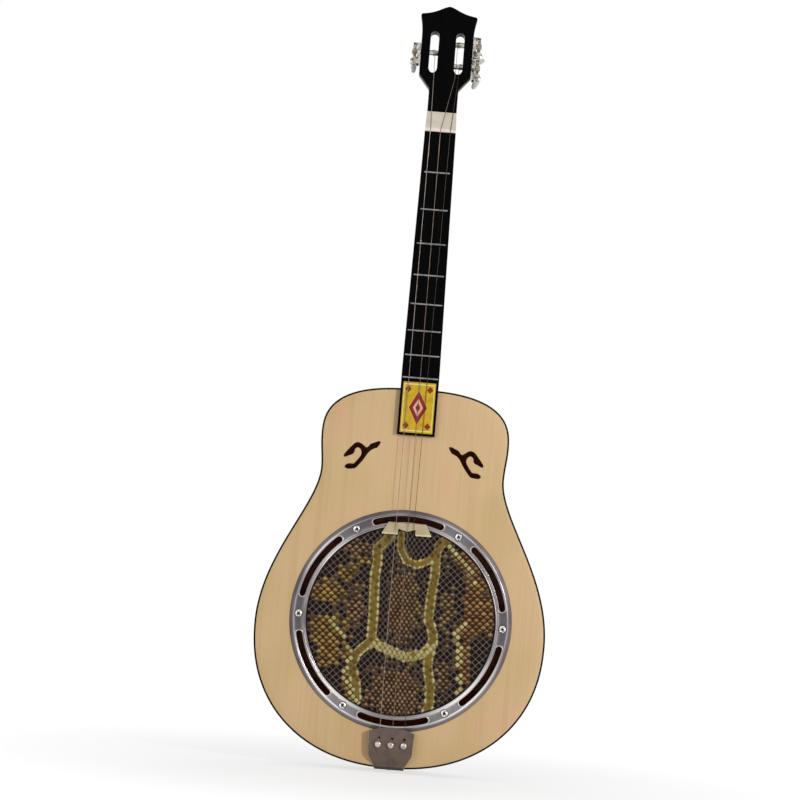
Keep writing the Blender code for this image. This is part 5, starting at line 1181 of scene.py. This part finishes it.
def eased_between(y, stations):
    """Values at y that glide from station to station on half-cosine spans softened by their neighbours."""
    places, values = np.asarray(stations, float).T
    fine = np.linspace(places[0], places[-1], 1200)
    return np.interp(y, fine, rounded(np.interp(fine, places, values), 0.02))


heel = TOP_Y + GAP
span = HEEL_DEPTH - NECK_DEPTH_LOW
depth_stations = ((heel, HEEL_DEPTH), (heel + 0.0098, NECK_DEPTH_LOW + 0.78 * span),
                  (heel + 0.0259, NECK_DEPTH_LOW + 0.34 * span), (heel + 0.0448, NECK_DEPTH_LOW + 0.09 * span),
                  (heel + 0.070, NECK_DEPTH_LOW), (NUT_Y - 0.015, NECK_DEPTH_HIGH), (NUT_Y + 0.006, 0.0183),
                  (NECK_END_Y, HEAD_THICKNESS))
square_stations = ((heel, 2.7), (heel + 0.0259, 2.4), (heel + 0.070, 2.1), (NUT_Y - 0.015, 2.1),
                   (NUT_Y + 0.006, 2.8), (NECK_END_Y, 7.0))
neck_y = np.concatenate([np.linspace(heel, heel + 0.08, 40), np.linspace(heel + 0.09, NUT_Y - 0.02, 30),
                         np.linspace(NUT_Y - 0.016, NECK_END_Y, 26)])[:, None]
around = np.linspace(0.0, math.pi, 49)[None, :]
power = 2.0 / eased_between(neck_y, square_stations)
neck_x = neck_half_width(neck_y) * np.sign(np.cos(around)) * np.abs(np.cos(around)) ** power
neck_z = -eased_between(neck_y, depth_stations) * np.sin(around) ** power
under_grid = stack(neck_x, neck_y, neck_z)
over_line = (np.linspace(-1, 1, 9)[None, 1:, None] * under_grid[:, :1] * (1, 0, 0)
             + under_grid[:, -1:] * (0, 1, 0))
neck_grid = np.concatenate([under_grid, over_line], axis=1)
leaned = from_head(neck_grid[-1] * (1, 0, 1))
neck_grid = np.concatenate([neck_grid[:-1], leaned[None]])
piece("neck_body", ROOT, NECK_LACQUER, [capped(neck_grid)], replaces=("neck",))

dressed("fingerboard", NECK_LACQUER, 0.0004, 2)
dressed("nut", NUT_BONE, 0.0005, 2)


def fret(number):
    """A fret's crown: an ellipse section that shrinks to nothing over its rounded ends."""
    y = NUT_Y - FIRST_FRET_STEP * (1 - FRET_RATIO**number) / (1 - FRET_RATIO)
    inset = FIRST_FRET_INSET + (number - 1) / 7 * (LAST_FRET_INSET - FIRST_FRET_INSET)
    half = float(neck_half_width(y)) - inset
    along = np.concatenate([-half + 0.0016 * (1 - np.cos(np.linspace(0, math.pi / 2, 8))),
                            half - 0.0016 * (1 - np.cos(np.linspace(math.pi / 2, 0, 8)))])[:, None]
    swell = np.sqrt(np.clip(1 - (1 - np.clip((half - np.abs(along)) / 0.0016, 0, 1)) ** 2, 1e-4, 1))
    arch = np.linspace(0, math.pi, 13)[None, :]
    y_grid = y + 0.5 * FRET_WIDTH * swell * np.cos(arch)
    z_grid = FINGERBOARD_TOP + GAP + FRET_HEIGHT * swell * np.sin(arch) ** 0.8
    crown = stack(along, y_grid, z_grid)
    return capped(np.concatenate([crown, crown[:, :1]], axis=1))


for number in range(1, 9):
    piece(f"fret_crown_{number}", ROOT, FRET_WIRE, [fret(number)], replaces=(f"fret_{number}",))

panel_low, panel_high = FINGERBOARD_END_Y + 0.0033, FINGERBOARD_END_Y + 0.0033 + 0.066
panel_half = NECK_WIDTH / 2 - 0.0033
panel_u, panel_v = np.meshgrid(np.linspace(-1, 1, 15), np.linspace(0, 1, 21), indexing="ij")
panel_base = FINGERBOARD_TOP + GAP
panel_face = stack(panel_half * panel_u, panel_low + (panel_high - panel_low) * panel_v, panel_base + 0.0005)
panel_back = panel_face - (0, 0, 0.0005)
panel_edges = [np.stack([panel_face[0], panel_back[0]]), np.stack([panel_face[-1], panel_back[-1]]),
               np.stack([panel_face[:, 0], panel_back[:, 0]]), np.stack([panel_face[:, -1], panel_back[:, -1]])]
panel_uv = stack(panel_u, panel_v)
panel = piece("yellow_plate", ROOT, PANEL, [panel_face, panel_back, *panel_edges],
              uv=[panel_uv, panel_uv, *(np.full((*edge.shape[:2], 2), 1.0) for edge in panel_edges)],
              replaces=("finger_panel",))
eased(panel, 0.00015, 2)


# Peghead


def head_outline():
    """Neck, sloping shoulders, straight flaring sides, rounded corners and an ogee top."""
    neck, side, top = NECK_END_WIDTH / 2, HEAD_WIDTH / 2, HEAD_TOP_WIDTH / 2
    low_y, high_y, ease = SHOULDER_Y, SHOULDER_Y + SHOULDER_RISE, SHOULDER_EASE
    low = np.stack([np.full(8, neck), np.linspace(GAP, low_y - 0.0060, 8)], -1)
    foot = (neck + 0.35 * ease, low_y)
    brow = (side - 0.55 * ease, high_y - 0.1 * ease)
    slope = np.array(brow) - foot
    slope /= np.linalg.norm(slope)
    toe = cubic((neck, low_y - ease), (neck, low_y - 0.4 * ease), foot - 0.25 * ease * slope, foot, 8)
    run = cubic(foot, foot + 2 * ease * slope, brow - 2 * ease * slope, brow, 8)
    turn_in = cubic(brow, brow + 0.6 * ease * slope, (side, high_y + 0.4 * ease), (side, high_y + 1.1 * ease), 8)
    flare_end = HEAD_CORNER_Y - HEAD_CORNER_RADIUS
    share = np.linspace(0, 0.94, 14)
    flare = np.stack([side + share**2 * (top - side), HEAD_FLARE_Y + share * (flare_end - HEAD_FLARE_Y)], -1)
    sides = np.stack([np.full(10, side), np.linspace(0.056, HEAD_FLARE_Y, 10, endpoint=False)], -1)
    angle = np.linspace(0, 0.5 * math.pi, 9)
    corner = np.stack([top - HEAD_CORNER_RADIUS * (1 - np.cos(angle)),
                       flare_end + HEAD_CORNER_RADIUS * np.sin(angle)], -1)
    reach = np.linspace(0, 1, 40)[1:]
    skewed = reach**OGEE_SKEW
    rise = OGEE_SLANT * reach + (1 - OGEE_SLANT) * skewed**2 * (3 - 2 * skewed)
    ogee = np.stack([(top - HEAD_CORNER_RADIUS) * (1 - reach), HEAD_CORNER_Y + OGEE_RISE * rise], -1)
    half = np.concatenate([low, toe, run, turn_in, sides, flare, corner, ogee])
    return np.concatenate([half, half[-2::-1] * (-1, 1)])


def stadium(centre_x, low, high, width, count=16):
    """A slot with half-round ends."""
    turn = np.linspace(0, math.pi, count + 1)
    half = width / 2
    upper = np.stack([centre_x + half * np.cos(turn), high - half + half * np.sin(turn)], -1)
    lower = np.stack([centre_x - half * np.cos(turn), low + half - half * np.sin(turn)], -1)
    return np.concatenate([upper, lower])


head_grid = plate(head_outline(), (0.0, 0.080), -HEAD_THICKNESS, 0.0, 0.0012)
peghead = piece("peghead_board", ROOT, NECK_LACQUER, [from_head(head_grid)], replaces=("peghead",), crease=32.0)
cutters = []
for side in (-1, 1):
    slot_loop = stadium(side * HEAD_SLOT_X, HEAD_SLOT_LOW, HEAD_SLOT_HIGH, HEAD_SLOT_WIDTH)
    cutters.append(from_head(prism(slot_loop, -HEAD_THICKNESS - 0.005, 0.005)))
cut(peghead, cutters, 32.0)
cutters = []
for side in (-1, 1):
    # The ramp is a trough with a round bottom, which deepens on its way into the slot.
    run = np.linspace(0.0, 1.0, 12)[:, None]
    across = np.linspace(-1, 1, 17)[None, :]
    sink = RAMP_DEPTH * run * 1.55 * np.sqrt(np.clip(1 - across**2 * 0.92, 0, 1))
    y = HEAD_SLOT_LOW - RAMP_LENGTH + run * (RAMP_LENGTH + HEAD_SLOT_WIDTH / 2)
    trough = stack(side * HEAD_SLOT_X + across * (0.35 + 0.65 * np.sqrt(run)) * RAMP_WIDTH / 2, y, -sink)
    lid = trough * (1, 1, 0) + (0, 0, 0.004)
    walls = [trough, lid, np.stack([trough[:, 0], lid[:, 0]]), np.stack([trough[:, -1], lid[:, -1]]),
             np.stack([trough[0], lid[0]]), np.stack([trough[-1], lid[-1]])]
    cutters += [from_head(wall) for wall in walls]
cut(peghead, cutters, 32.0)
eased(peghead, 0.0004, 2, 42.0)


# Machine heads


def tooth(phase):
    """Share of a tooth's height across one pitch: flat top, sloping flanks, flat root, softened at the corners."""
    away = np.abs(phase - np.floor(phase) - 0.5) * WORM_PITCH
    return fade((TOOTH_ROOT / 2 - away) / (TOOTH_ROOT / 2 - TOOTH_TIP / 2), -0.05, 1.05)


def wheel():
    """About X: slanted teeth round the rim, a shallow recess between rim and hub on both faces."""
    angle = ring_of(GEAR_TEETH * 20)[None, :]
    face = np.array([(0.5, 0.0), (0.5, 0.42), (0.30, 0.46), (0.30, 0.72), (0.5, 0.76), (0.5, 0.97), (0.42, 1.0)])
    section = np.concatenate([face * (-1, 1), [(0.0, 1.0)], face[::-1]])
    out, share = section[:, :1] * GEAR_THICKNESS, section[:, 1:]
    slant = WORM_PITCH / (2 * math.pi * WORM_PITCH_RADIUS) / GEAR_PITCH_RADIUS
    phase = GEAR_TEETH * (angle - math.pi - slant * out) / (2 * math.pi) + 0.5
    root, tip = GEAR_PITCH_RADIUS - DEDENDUM, GEAR_PITCH_RADIUS + ADDENDUM
    toothed = root + (tip - root) * tooth(phase)
    rim = fade(share, 0.80, 1.0)
    radius = share * (rim * toothed + (1 - rim) * root)
    return stack(out, radius * np.cos(angle), radius * np.sin(angle))


def worm():
    """About Z: the radius follows one thread round and along, between plain shafts and under a cap."""
    half = PLATE_HEIGHT / 2
    end = half - PLATE_THICKNESS - 2 * GAP
    root, tip = WORM_PITCH_RADIUS - DEDENDUM, WORM_PITCH_RADIUS + ADDENDUM
    height = np.linspace(-end, end, 150)[:, None]
    angle = ring_of(48)[None, :]
    phase = height / WORM_PITCH - (angle - 0.5 * math.pi) / (2 * math.pi)
    ends = np.clip((end - np.abs(height)) / 0.0010, 0, 1)
    radius = root - 0.0006 * (1 - ends) + (tip - root) * tooth(phase) * ends
    thread = stack(radius * np.cos(angle), radius * np.sin(angle), height)
    button_top = -HEAD_THICKNESS / 2 - BUTTON_STANDOFF
    cap = half + GAP
    below = turned([(SHAFT_RADIUS, button_top - 0.5 * BUTTON_LENGTH), (SHAFT_RADIUS, -end)], 48)
    above = turned([(SHAFT_RADIUS, end), (SHAFT_RADIUS, cap), (SHAFT_CAP_RADIUS * 0.9, cap),
                    (SHAFT_CAP_RADIUS, cap + 0.0003), (SHAFT_CAP_RADIUS, cap + 0.6 * SHAFT_CAP_HEIGHT),
                    (SHAFT_CAP_RADIUS * 0.86, cap + 0.9 * SHAFT_CAP_HEIGHT),
                    (SHAFT_CAP_RADIUS * 0.5, cap + SHAFT_CAP_HEIGHT)], 48)
    return capped(np.concatenate([below, thread, above]))


def button(turn):
    """An oval button: its section is an ellipse whose two widths glide through the stations along Z."""
    stations = np.array([(0.000, 0.30, 0.62), (0.080, 0.32, 0.70), (0.170, 0.42, 0.80), (0.280, 0.80, 0.92),
                         (0.420, 1.00, 1.00), (0.650, 0.98, 1.00), (0.830, 0.80, 0.90), (0.950, 0.50, 0.66),
                         (1.000, 0.16, 0.24)])
    fine = np.linspace(0, 1, 400)
    share = 0.5 - 0.5 * np.cos(np.linspace(0, math.pi, 60))
    wide = np.interp(share, fine, rounded(np.interp(fine, stations[:, 0], stations[:, 1]), 0.03))[:, None]
    thick = np.interp(share, fine, rounded(np.interp(fine, stations[:, 0], stations[:, 2]), 0.03))[:, None]
    angle = ring_of(56)[None, :]
    x = 0.5 * BUTTON_WIDTH * wide * np.cos(angle)
    y = 0.5 * BUTTON_THICKNESS * thick * np.sign(np.sin(angle)) * np.abs(np.sin(angle)) ** 0.85
    z = -HEAD_THICKNESS / 2 - BUTTON_STANDOFF - share[:, None] * BUTTON_LENGTH
    c, s = math.cos(math.radians(turn)), math.sin(math.radians(turn))
    return capped(stack(x * c - y * s, x * s + y * c, z + 0 * x))


def roller():
    """About X: the barrel from its seat in the head to the spigot, and the screw cap that holds the wheel."""
    inner = -(HEAD_WIDTH / 2 - HEAD_SLOT_X + HEAD_SLOT_WIDTH / 2 + ROLLER_SEAT_DEPTH)
    shoulder = GEAR_OUT - GEAR_THICKNESS / 2 - GAP
    cap = GEAR_OUT + GEAR_THICKNESS / 2 + GAP
    profile = [(0.0, inner), (ROLLER_RADIUS - 0.0003, inner), (ROLLER_RADIUS, inner + 0.0003),
               (ROLLER_RADIUS, shoulder - 0.0003), (ROLLER_RADIUS - 0.0003, shoulder),
               (SPIGOT_RADIUS, shoulder), (SPIGOT_RADIUS, cap), (ROLLER_CAP_RADIUS - 0.0002, cap),
               (ROLLER_CAP_RADIUS, cap + 0.0002), (ROLLER_CAP_RADIUS, cap + 0.0006),
               (ROLLER_CAP_RADIUS * 0.90, cap + 0.0010), (ROLLER_CAP_RADIUS * 0.6, cap + ROLLER_CAP_HEIGHT),
               (0.0, cap + ROLLER_CAP_HEIGHT)]
    return to_x_axis(turned(profile, 48))


for number, (side, height, turn) in enumerate(TUNERS, 1):
    worm_y = -(GEAR_PITCH_RADIUS + WORM_PITCH_RADIUS + MESH_CLEARANCE)
    centre = np.array([side * HEAD_WIDTH / 2, height, -HEAD_THICKNESS / 2])
    mirror = np.array([side, 1, 1])
    wheel_at = centre + (side * GEAR_OUT, 0, 0)
    worm_at = wheel_at + (0, worm_y, 0)
    piece(f"wheel_{number}", f"roller_{number}", BRASS, [from_head(wheel() * mirror + wheel_at)],
          replaces=(f"tuner_gear_{number}",), crease=32.0)
    barrel = piece(f"barrel_{number}", f"roller_{number}", NICKEL, [from_head(roller() * mirror + centre)],
                   replaces=(f"string_roller_{number}",))
    slot_x = side * (GEAR_OUT + GEAR_THICKNESS / 2 + GAP + ROLLER_CAP_HEIGHT)
    driver = np.array([(-0.0045, -0.0004), (0.0045, -0.0004), (0.0045, 0.0004), (-0.0045, 0.0004)])
    slant = math.radians(25 + 70 * number)
    driver = driver @ np.array([[math.cos(slant), math.sin(slant)], [-math.sin(slant), math.cos(slant)]])
    driver_grid = prism(driver, -0.0006, 0.0010)[..., [2, 0, 1]] + centre + (slot_x, 0, 0)
    cut(barrel, [from_head(driver_grid)])
    piece(f"thread_{number}", f"key_{number}", NICKEL, [from_head(worm() * mirror + worm_at)],
          replaces=(f"tuner_worm_{number}",), crease=32.0)
    piece(f"pearl_{number}", f"key_{number}", PEARL, [from_head(button(turn) + worm_at)],
          replaces=(f"tuner_button_{number}",))
    dressed(f"tuner_plate_{number}", NICKEL, 0.00035, 3)


# Bridge, tailpiece and pins

dressed("bridge", BRIDGE_BONE, 0.0005, 3)


def bridge_tilt():
    """The angle at which the lying bridge's foot is on the skin and its string edge on the ring's bead."""
    corner = 0.5 * BRIDGE_TOP_WIDTH + 0.12 * (BRIDGE_FOOT_WIDTH - BRIDGE_TOP_WIDTH) + abs(BRIDGE_X)
    return math.atan2(BEAD_HEIGHT + GAP, math.sqrt(BEAD_RADIUS**2 - corner**2) - BRIDGE_FOOT_Y)


STRING_HEIGHT = (BRIDGE_HEIGHT * math.sin(bridge_tilt()) + BRIDGE_TOP_THICKNESS * math.cos(bridge_tilt())
                 + STRING_CLEARANCE + THICKEST_STRING / 2)
TAIL_LEVEL = STRING_HEIGHT + THICKEST_STRING / 2 + STRING_CLEARANCE + TAIL_SHEET


def pin():
    """A rivet's stem with a low domed head, hollowed a little under its brim."""
    base = TAIL_LEVEL - TAIL_SHEET - GAP
    top = TAIL_LEVEL + PIN_HEIGHT
    foot = PIN_RADIUS + 0.0008
    head = [(PIN_HEAD_RADIUS * math.sin(a), top - 0.0011 * (1 - math.cos(a)) ** 0.9)
            for a in np.linspace(math.pi / 2, 0.0, 10)]
    return turned([(0.0, base - 0.0007), (foot, base - 0.0007), (foot, base), (PIN_RADIUS, base),
                   (PIN_RADIUS, top - 0.0017), (PIN_HEAD_RADIUS * 0.8, top - 0.0013),
                   (PIN_HEAD_RADIUS * 0.98, top - 0.0013), *head], 40)


for number in (1, 2, 3):
    piece(f"pin_{number}", ROOT, PIN_NICKEL, [pin() + ((number - 2) * PIN_SPACING, PIN_Y, 0.0)],
          replaces=(f"string_pin_{number}",))

def tail_line(count=240):
    """Middle line of the tailpiece's upper side, as rows of (y, z, half width), from its front edge over the
    kink, down the slope and over the edge of the box, evenly along its length and with softened bends."""
    low = TAIL_SHEET + GAP
    edge_y, slope_y, kink_y = TAIL_Y - GAP - TAIL_SHEET, TAIL_Y + TAIL_EDGE_RUN, TAIL_FRONT_Y - TAIL_KINK
    wide, kink, narrow = TAIL_FRONT_HALF, TAIL_KINK_HALF, TAIL_EDGE_HALF
    stations = np.array([
        (TAIL_FRONT_Y, TAIL_LEVEL, wide),
        (TAIL_FRONT_Y - TAIL_BEND, TAIL_LEVEL, kink + 0.28 * (wide - kink)),
        (kink_y, TAIL_LEVEL - TAIL_KINK_DROP, kink),
        (0.5 * (kink_y + slope_y), 0.48 * TAIL_LEVEL + 0.5 * low, 0.6 * kink + 0.4 * narrow),
        (slope_y, low + GAP, kink + 0.82 * (narrow - kink)),
        (edge_y + 0.75 * TAIL_TURN, low, narrow),
        (edge_y, low - TAIL_TURN, narrow),
        (edge_y, -TAIL_DROP, narrow)])
    length = np.concatenate([[0.0], np.cumsum(np.hypot(*np.diff(stations[:, :2], axis=0).T))])
    at = np.linspace(0.0, length[-1], count)
    return np.stack([rounded(np.interp(at, length, column), 0.012) for column in stations.T], -1), at


def tail_plate():
    """The bent sheet: at each row of its line a flat section with rounded edges, square to the line, and the
    front edge bowed forward as a parabola. Gives the grid and how close to an edge each point is."""
    line, at = tail_line()
    y, z, half = line.T[..., None]
    along = np.gradient(line[:, :2], axis=0)
    along /= np.linalg.norm(along, axis=1, keepdims=True)
    edge = edge_profile(0.0, -TAIL_SHEET, 0.0, 0.0004, 3)
    columns = np.sin(np.linspace(-0.5 * math.pi, 0.5 * math.pi, 49))
    across = np.concatenate([columns, np.ones(len(edge)), columns[::-1], -np.ones(len(edge)), columns[:1]])
    drop = np.concatenate([0 * columns, edge[::-1, 1], 0 * columns - TAIL_SHEET, edge[:, 1], [0.0]])
    inset = np.concatenate([0 * columns - 0.0004 * columns, edge[::-1, 0], 0.0004 * columns, -edge[:, 0], [0.0004]])
    x = across * half + inset
    bow = TAIL_BOW * (1 - across**2) * np.clip(1 - at[:, None] / TAIL_BEND, 0, 1)
    grid = stack(x, y + bow + drop * along[:, 1:], z - drop * along[:, :1])
    return grid, np.exp((np.abs(x) - half) / 0.0009)


def tail_wall(side):
    """The skirt folded down along one side of the raised part: an upright strip from the box to the sheet."""
    line, _ = tail_line(120)
    y, z, half = line[line[:, 0] > 0.5 * (TAIL_FRONT_Y - TAIL_KINK + TAIL_Y + TAIL_EDGE_RUN)].T[..., None]
    out = half - GAP - np.array([0.0, 0.0, 0.0002, TAIL_SHEET - GAP, TAIL_SHEET - GAP, 0.0])
    share = np.array([0.0, 0.98, 1.0, 1.0, 0.0, 0.0])
    return stack(side * out, y, GAP + share * (z - 0.6 * TAIL_SHEET - GAP))


plate_grid, plate_rub = tail_plate()
tailpiece = piece("bent_tailpiece", ROOT, TIN, [capped(plate_grid)],
                  marks={"rubbed": [np.concatenate([plate_rub[:1], plate_rub, plate_rub[-1:]])]},
                  replaces=("tailpiece",), crease=50.0)
tail_face = TAIL_Y - 2 * GAP - TAIL_SHEET


def round_hole(x, y, radius):
    """A cutter down through the tailpiece's flat part."""
    angle = ring_of(28)[:-1]
    outline = np.stack([x + radius * np.cos(angle), y + radius * np.sin(angle)], -1)
    return prism(outline, TAIL_LEVEL - 0.004, TAIL_LEVEL + 0.002)


flange_hole = round_hole(0.0, 0.0, 0.0019)[..., [0, 2, 1]] * (1, 1, -1) + (0, tail_face - TAIL_LEVEL, 0)
cut(tailpiece, [round_hole(string[1], TAIL_HOLE_Y, TAIL_HOLE_RADIUS) for string in STRINGS]
    + [round_hole((number - 1) * PIN_SPACING, PIN_Y, PIN_RADIUS + GAP) for number in range(3)]
    + [flange_hole - (0, 0, depth) for depth in TAIL_SCREW_DEPTHS], 50.0)
for number, side in enumerate((-1, 1), 1):
    wall = tail_wall(side)
    piece(f"tailpiece_skirt_{number}", ROOT, TIN, [capped(wall)],
          marks={"rubbed": [np.zeros((len(wall) + 2, wall.shape[1]))]}, crease=50.0)

for number, depth in enumerate(TAIL_SCREW_DEPTHS, 1):
    spot = Matrix.Translation((0.0, tail_face, -depth)) @ Matrix.Rotation(math.radians(90.0), 4, "X")
    spot = spot @ Matrix.Rotation(math.radians(20 + 50 * number), 4, "Z")
    screw(f"tail_screw_head_{number}", f"tail_screw_{number}", 0.0148, spot)


# Strings


def string_path(number):
    """The string's route and, at each point, a direction that its tangent never takes."""
    diameter, tail_x, bridge_x, nut_x, mouth_x, roller_x = STRINGS[number - 1]
    radius = diameter / 2
    pin_x = (number - 2) * PIN_SPACING
    loop_radius = PIN_RADIUS + GAP + radius + 0.0001
    plate_top = TAIL_LEVEL + GAP
    turn = np.radians(np.linspace(30.0, -240.0, 41))
    loop = stack(pin_x + loop_radius * np.cos(turn), PIN_Y + loop_radius * np.sin(turn),
                 plate_top + radius + 0.0004 + 0.0006 * np.linspace(0, 1, 41))
    seat = NUT_HEIGHT + radius - STRING_SINK
    run = np.array([
        (0.5 * (pin_x + tail_x) - 0.0006, 0.55 * TAIL_HOLE_Y + 0.45 * PIN_Y, plate_top + 0.0012),
        (tail_x, TAIL_HOLE_Y - 0.0004, plate_top + 0.0002),
        (tail_x, TAIL_HOLE_Y + 0.0004, TAIL_LEVEL - TAIL_SHEET),
        (tail_x, TAIL_HOLE_Y + 0.0034, STRING_HEIGHT),
        (bridge_x, BRIDGE_FOOT_Y + BRIDGE_HEIGHT * 0.7, STRING_HEIGHT),
        (nut_x, NUT_Y + GAP, seat), (nut_x, NUT_Y + GAP + NUT_LIP, seat),
        tuple(from_head((mouth_x, SLOT_MOUTH_Y, SLOT_MOUTH_HEIGHT)))])
    side, roller_y, _ = TUNERS[number - 1]
    wound = ROLLER_RADIUS + GAP + radius
    turns = np.linspace(0.0, WINDING_TURNS, int(WINDING_TURNS * 48) + 1)
    coil = from_head(stack(roller_x + side * WINDING_PITCH * turns, roller_y + wound * np.sin(2 * math.pi * turns),
                           -HEAD_THICKNESS / 2 + wound * np.cos(2 * math.pi * turns)))
    path = np.concatenate([loop, run, coil])
    flat_side, cross_side = np.array([0.0, 0.0, 1.0]), np.array([1.0, 0.0, 0.0])
    share = np.concatenate([np.zeros(len(loop)), [0.4, 0.8], np.ones(len(path) - len(loop) - 2)])[:, None]
    return path, (1 - share) * flat_side + share * cross_side, radius


for number, finish in enumerate((WOUND_WIRE, PLAIN_WIRE, SHADED_PLAIN_WIRE), 1):
    path, across, radius = string_path(number)
    wire_uv = length_uv(path, 12)
    piece(f"wire_{number}", ROOT, finish, [capped(sweep(path, across, radius, 12))],
          uv=[np.concatenate([wire_uv[:1], wire_uv, wire_uv[-1:]])],
          replaces=(f"string_{number}",), crease=60.0)


# Stage, lamps and camera

FLOOR_Z = cad_box[0].z - 0.002


def seen_directly(nodes, links):
    """1 where the camera, a mirror or glass looks, and 0 where only light falls."""
    path = nodes.new("ShaderNodeLightPath")
    shiny, seen = nodes.new("ShaderNodeMath"), nodes.new("ShaderNodeMath")
    shiny.operation = seen.operation = "MAXIMUM"
    links.new(path.outputs["Is Glossy Ray"], shiny.inputs[0])
    links.new(path.outputs["Is Transmission Ray"], shiny.inputs[1])
    links.new(path.outputs["Is Camera Ray"], seen.inputs[0])
    links.new(shiny.outputs[0], seen.inputs[1])
    return seen.outputs[0]


def stage_floor():
    """A pale disc under the object, which keeps its shadow near it and goes over to plain white further out."""
    made = Finish("floor", "studio_floor", Roughness=0.9, Specular_IOR_Level=0.1, Emission_Strength=1.0)
    at = made.place()
    x, y, _ = made.split(at)
    far = (x * x + y * y) ** 0.5
    white = Signal(made, seen_directly(made.tree.nodes, made.tree.links)) * (0.70 + 0.30 * far.step(0.15, 0.8))
    pale = made.mix(made.noise(at, 3.0), rgb(242, 242, 242), rgb(246, 246, 246))
    made.drive(Base_Color=made.mix(white, pale, rgb(0, 0, 0)),
               Emission_Color=made.mix(white, rgb(0, 0, 0), rgb(255, 255, 255)))
    radius = np.array([0.0, 0.5, 1.5, 4.0, 12.0])[:, None]
    grid = stack(radius * np.cos(ring_of(64)), radius * np.sin(ring_of(64)), 0.0)
    rows, columns = grid.shape[:2]
    corner = np.arange(rows * columns).reshape(rows, columns)
    quads = np.stack([corner[:-1, :-1], corner[1:, :-1], corner[1:, 1:], corner[:-1, 1:]], -1).reshape(-1, 4)
    mesh = bpy.data.meshes.new("floor")
    mesh.from_pydata((grid.reshape(-1, 3) + (0, 0, FLOOR_Z)).tolist(), [], quads.tolist())
    tidy_mesh(mesh)
    if mesh.polygons[0].normal.z < 0:
        mesh.flip_normals()
    mesh.materials.append(made.material)
    floor = bpy.data.objects.new("floor", mesh)
    bpy.context.scene.collection.objects.link(floor)


def lamp(name, place, target, width, power, tint=(1.0, 1.0, 1.0)):
    """A square soft box that faces its target."""
    data = bpy.data.lights.new(name, "AREA")
    data.shape = "SQUARE"
    data.size = width
    data.energy = power
    data.color = tint
    made = bpy.data.objects.new(name, data)
    made.location = place
    made.rotation_mode = "QUATERNION"
    made.rotation_quaternion = (Vector(target) - Vector(place)).to_track_quat("-Z", "Y")
    bpy.context.scene.collection.objects.link(made)


def studio_world():
    """White where the camera, a mirror or glass looks at it, and a dimmer fill for everything else."""
    world = bpy.data.worlds.new("studio")
    bpy.context.scene.world = world
    world.use_nodes = True
    nodes, links = world.node_tree.nodes, world.node_tree.links
    level = nodes.new("ShaderNodeMapRange")
    level.inputs["To Min"].default_value = 0.36
    level.inputs["To Max"].default_value = 1.0
    links.new(seen_directly(nodes, links), level.inputs["Value"])
    links.new(level.outputs[0], nodes["Background"].inputs["Strength"])
    nodes["Background"].inputs["Color"].default_value = (1.0, 1.0, 1.0, 1.0)


stage_floor()
studio_world()
MIDDLE = (0.0, 0.0, -0.42)
lamp("key", (2.6, -3.0, 0.35), MIDDLE, 0.14, 70.0)
lamp("fill", (-2.4, -2.9, 0.9), MIDDLE, 2.2, 22.0)
lamp("rim_light", (1.8, 3.0, 1.4), MIDDLE, 2.0, 34.0)
lamp("rear_fill", (-2.4, 2.6, 0.2), MIDDLE, 2.0, 22.0)

# The photograph's framing: 1.04 m across at the face, looking square at it, rolled so that the neck leans right
ROLL = math.radians(4.64)
PICTURE_WIDTH = 1.04
AIM = Vector((-0.0240, HANGER_Z, -0.4135))
camera_data = bpy.data.cameras.new("camera")
camera_data.lens = 200.0
camera_data.sensor_width = 36.0
reach = PICTURE_WIDTH * camera_data.lens / camera_data.sensor_width
camera = bpy.data.objects.new("camera", camera_data)
right = Vector((math.cos(ROLL), 0.0, math.sin(ROLL)))
up = Vector((-math.sin(ROLL), 0.0, math.cos(ROLL)))
back = Vector((0.0, -1.0, 0.0))
camera.matrix_world = Matrix.Translation(AIM + back * reach) @ Matrix((right, up, back)).transposed().to_4x4()
camera_data.clip_end = 60.0
bpy.context.scene.collection.objects.link(camera)
bpy.context.scene.camera = camera
bpy.context.scene.view_settings.view_transform = "Standard"
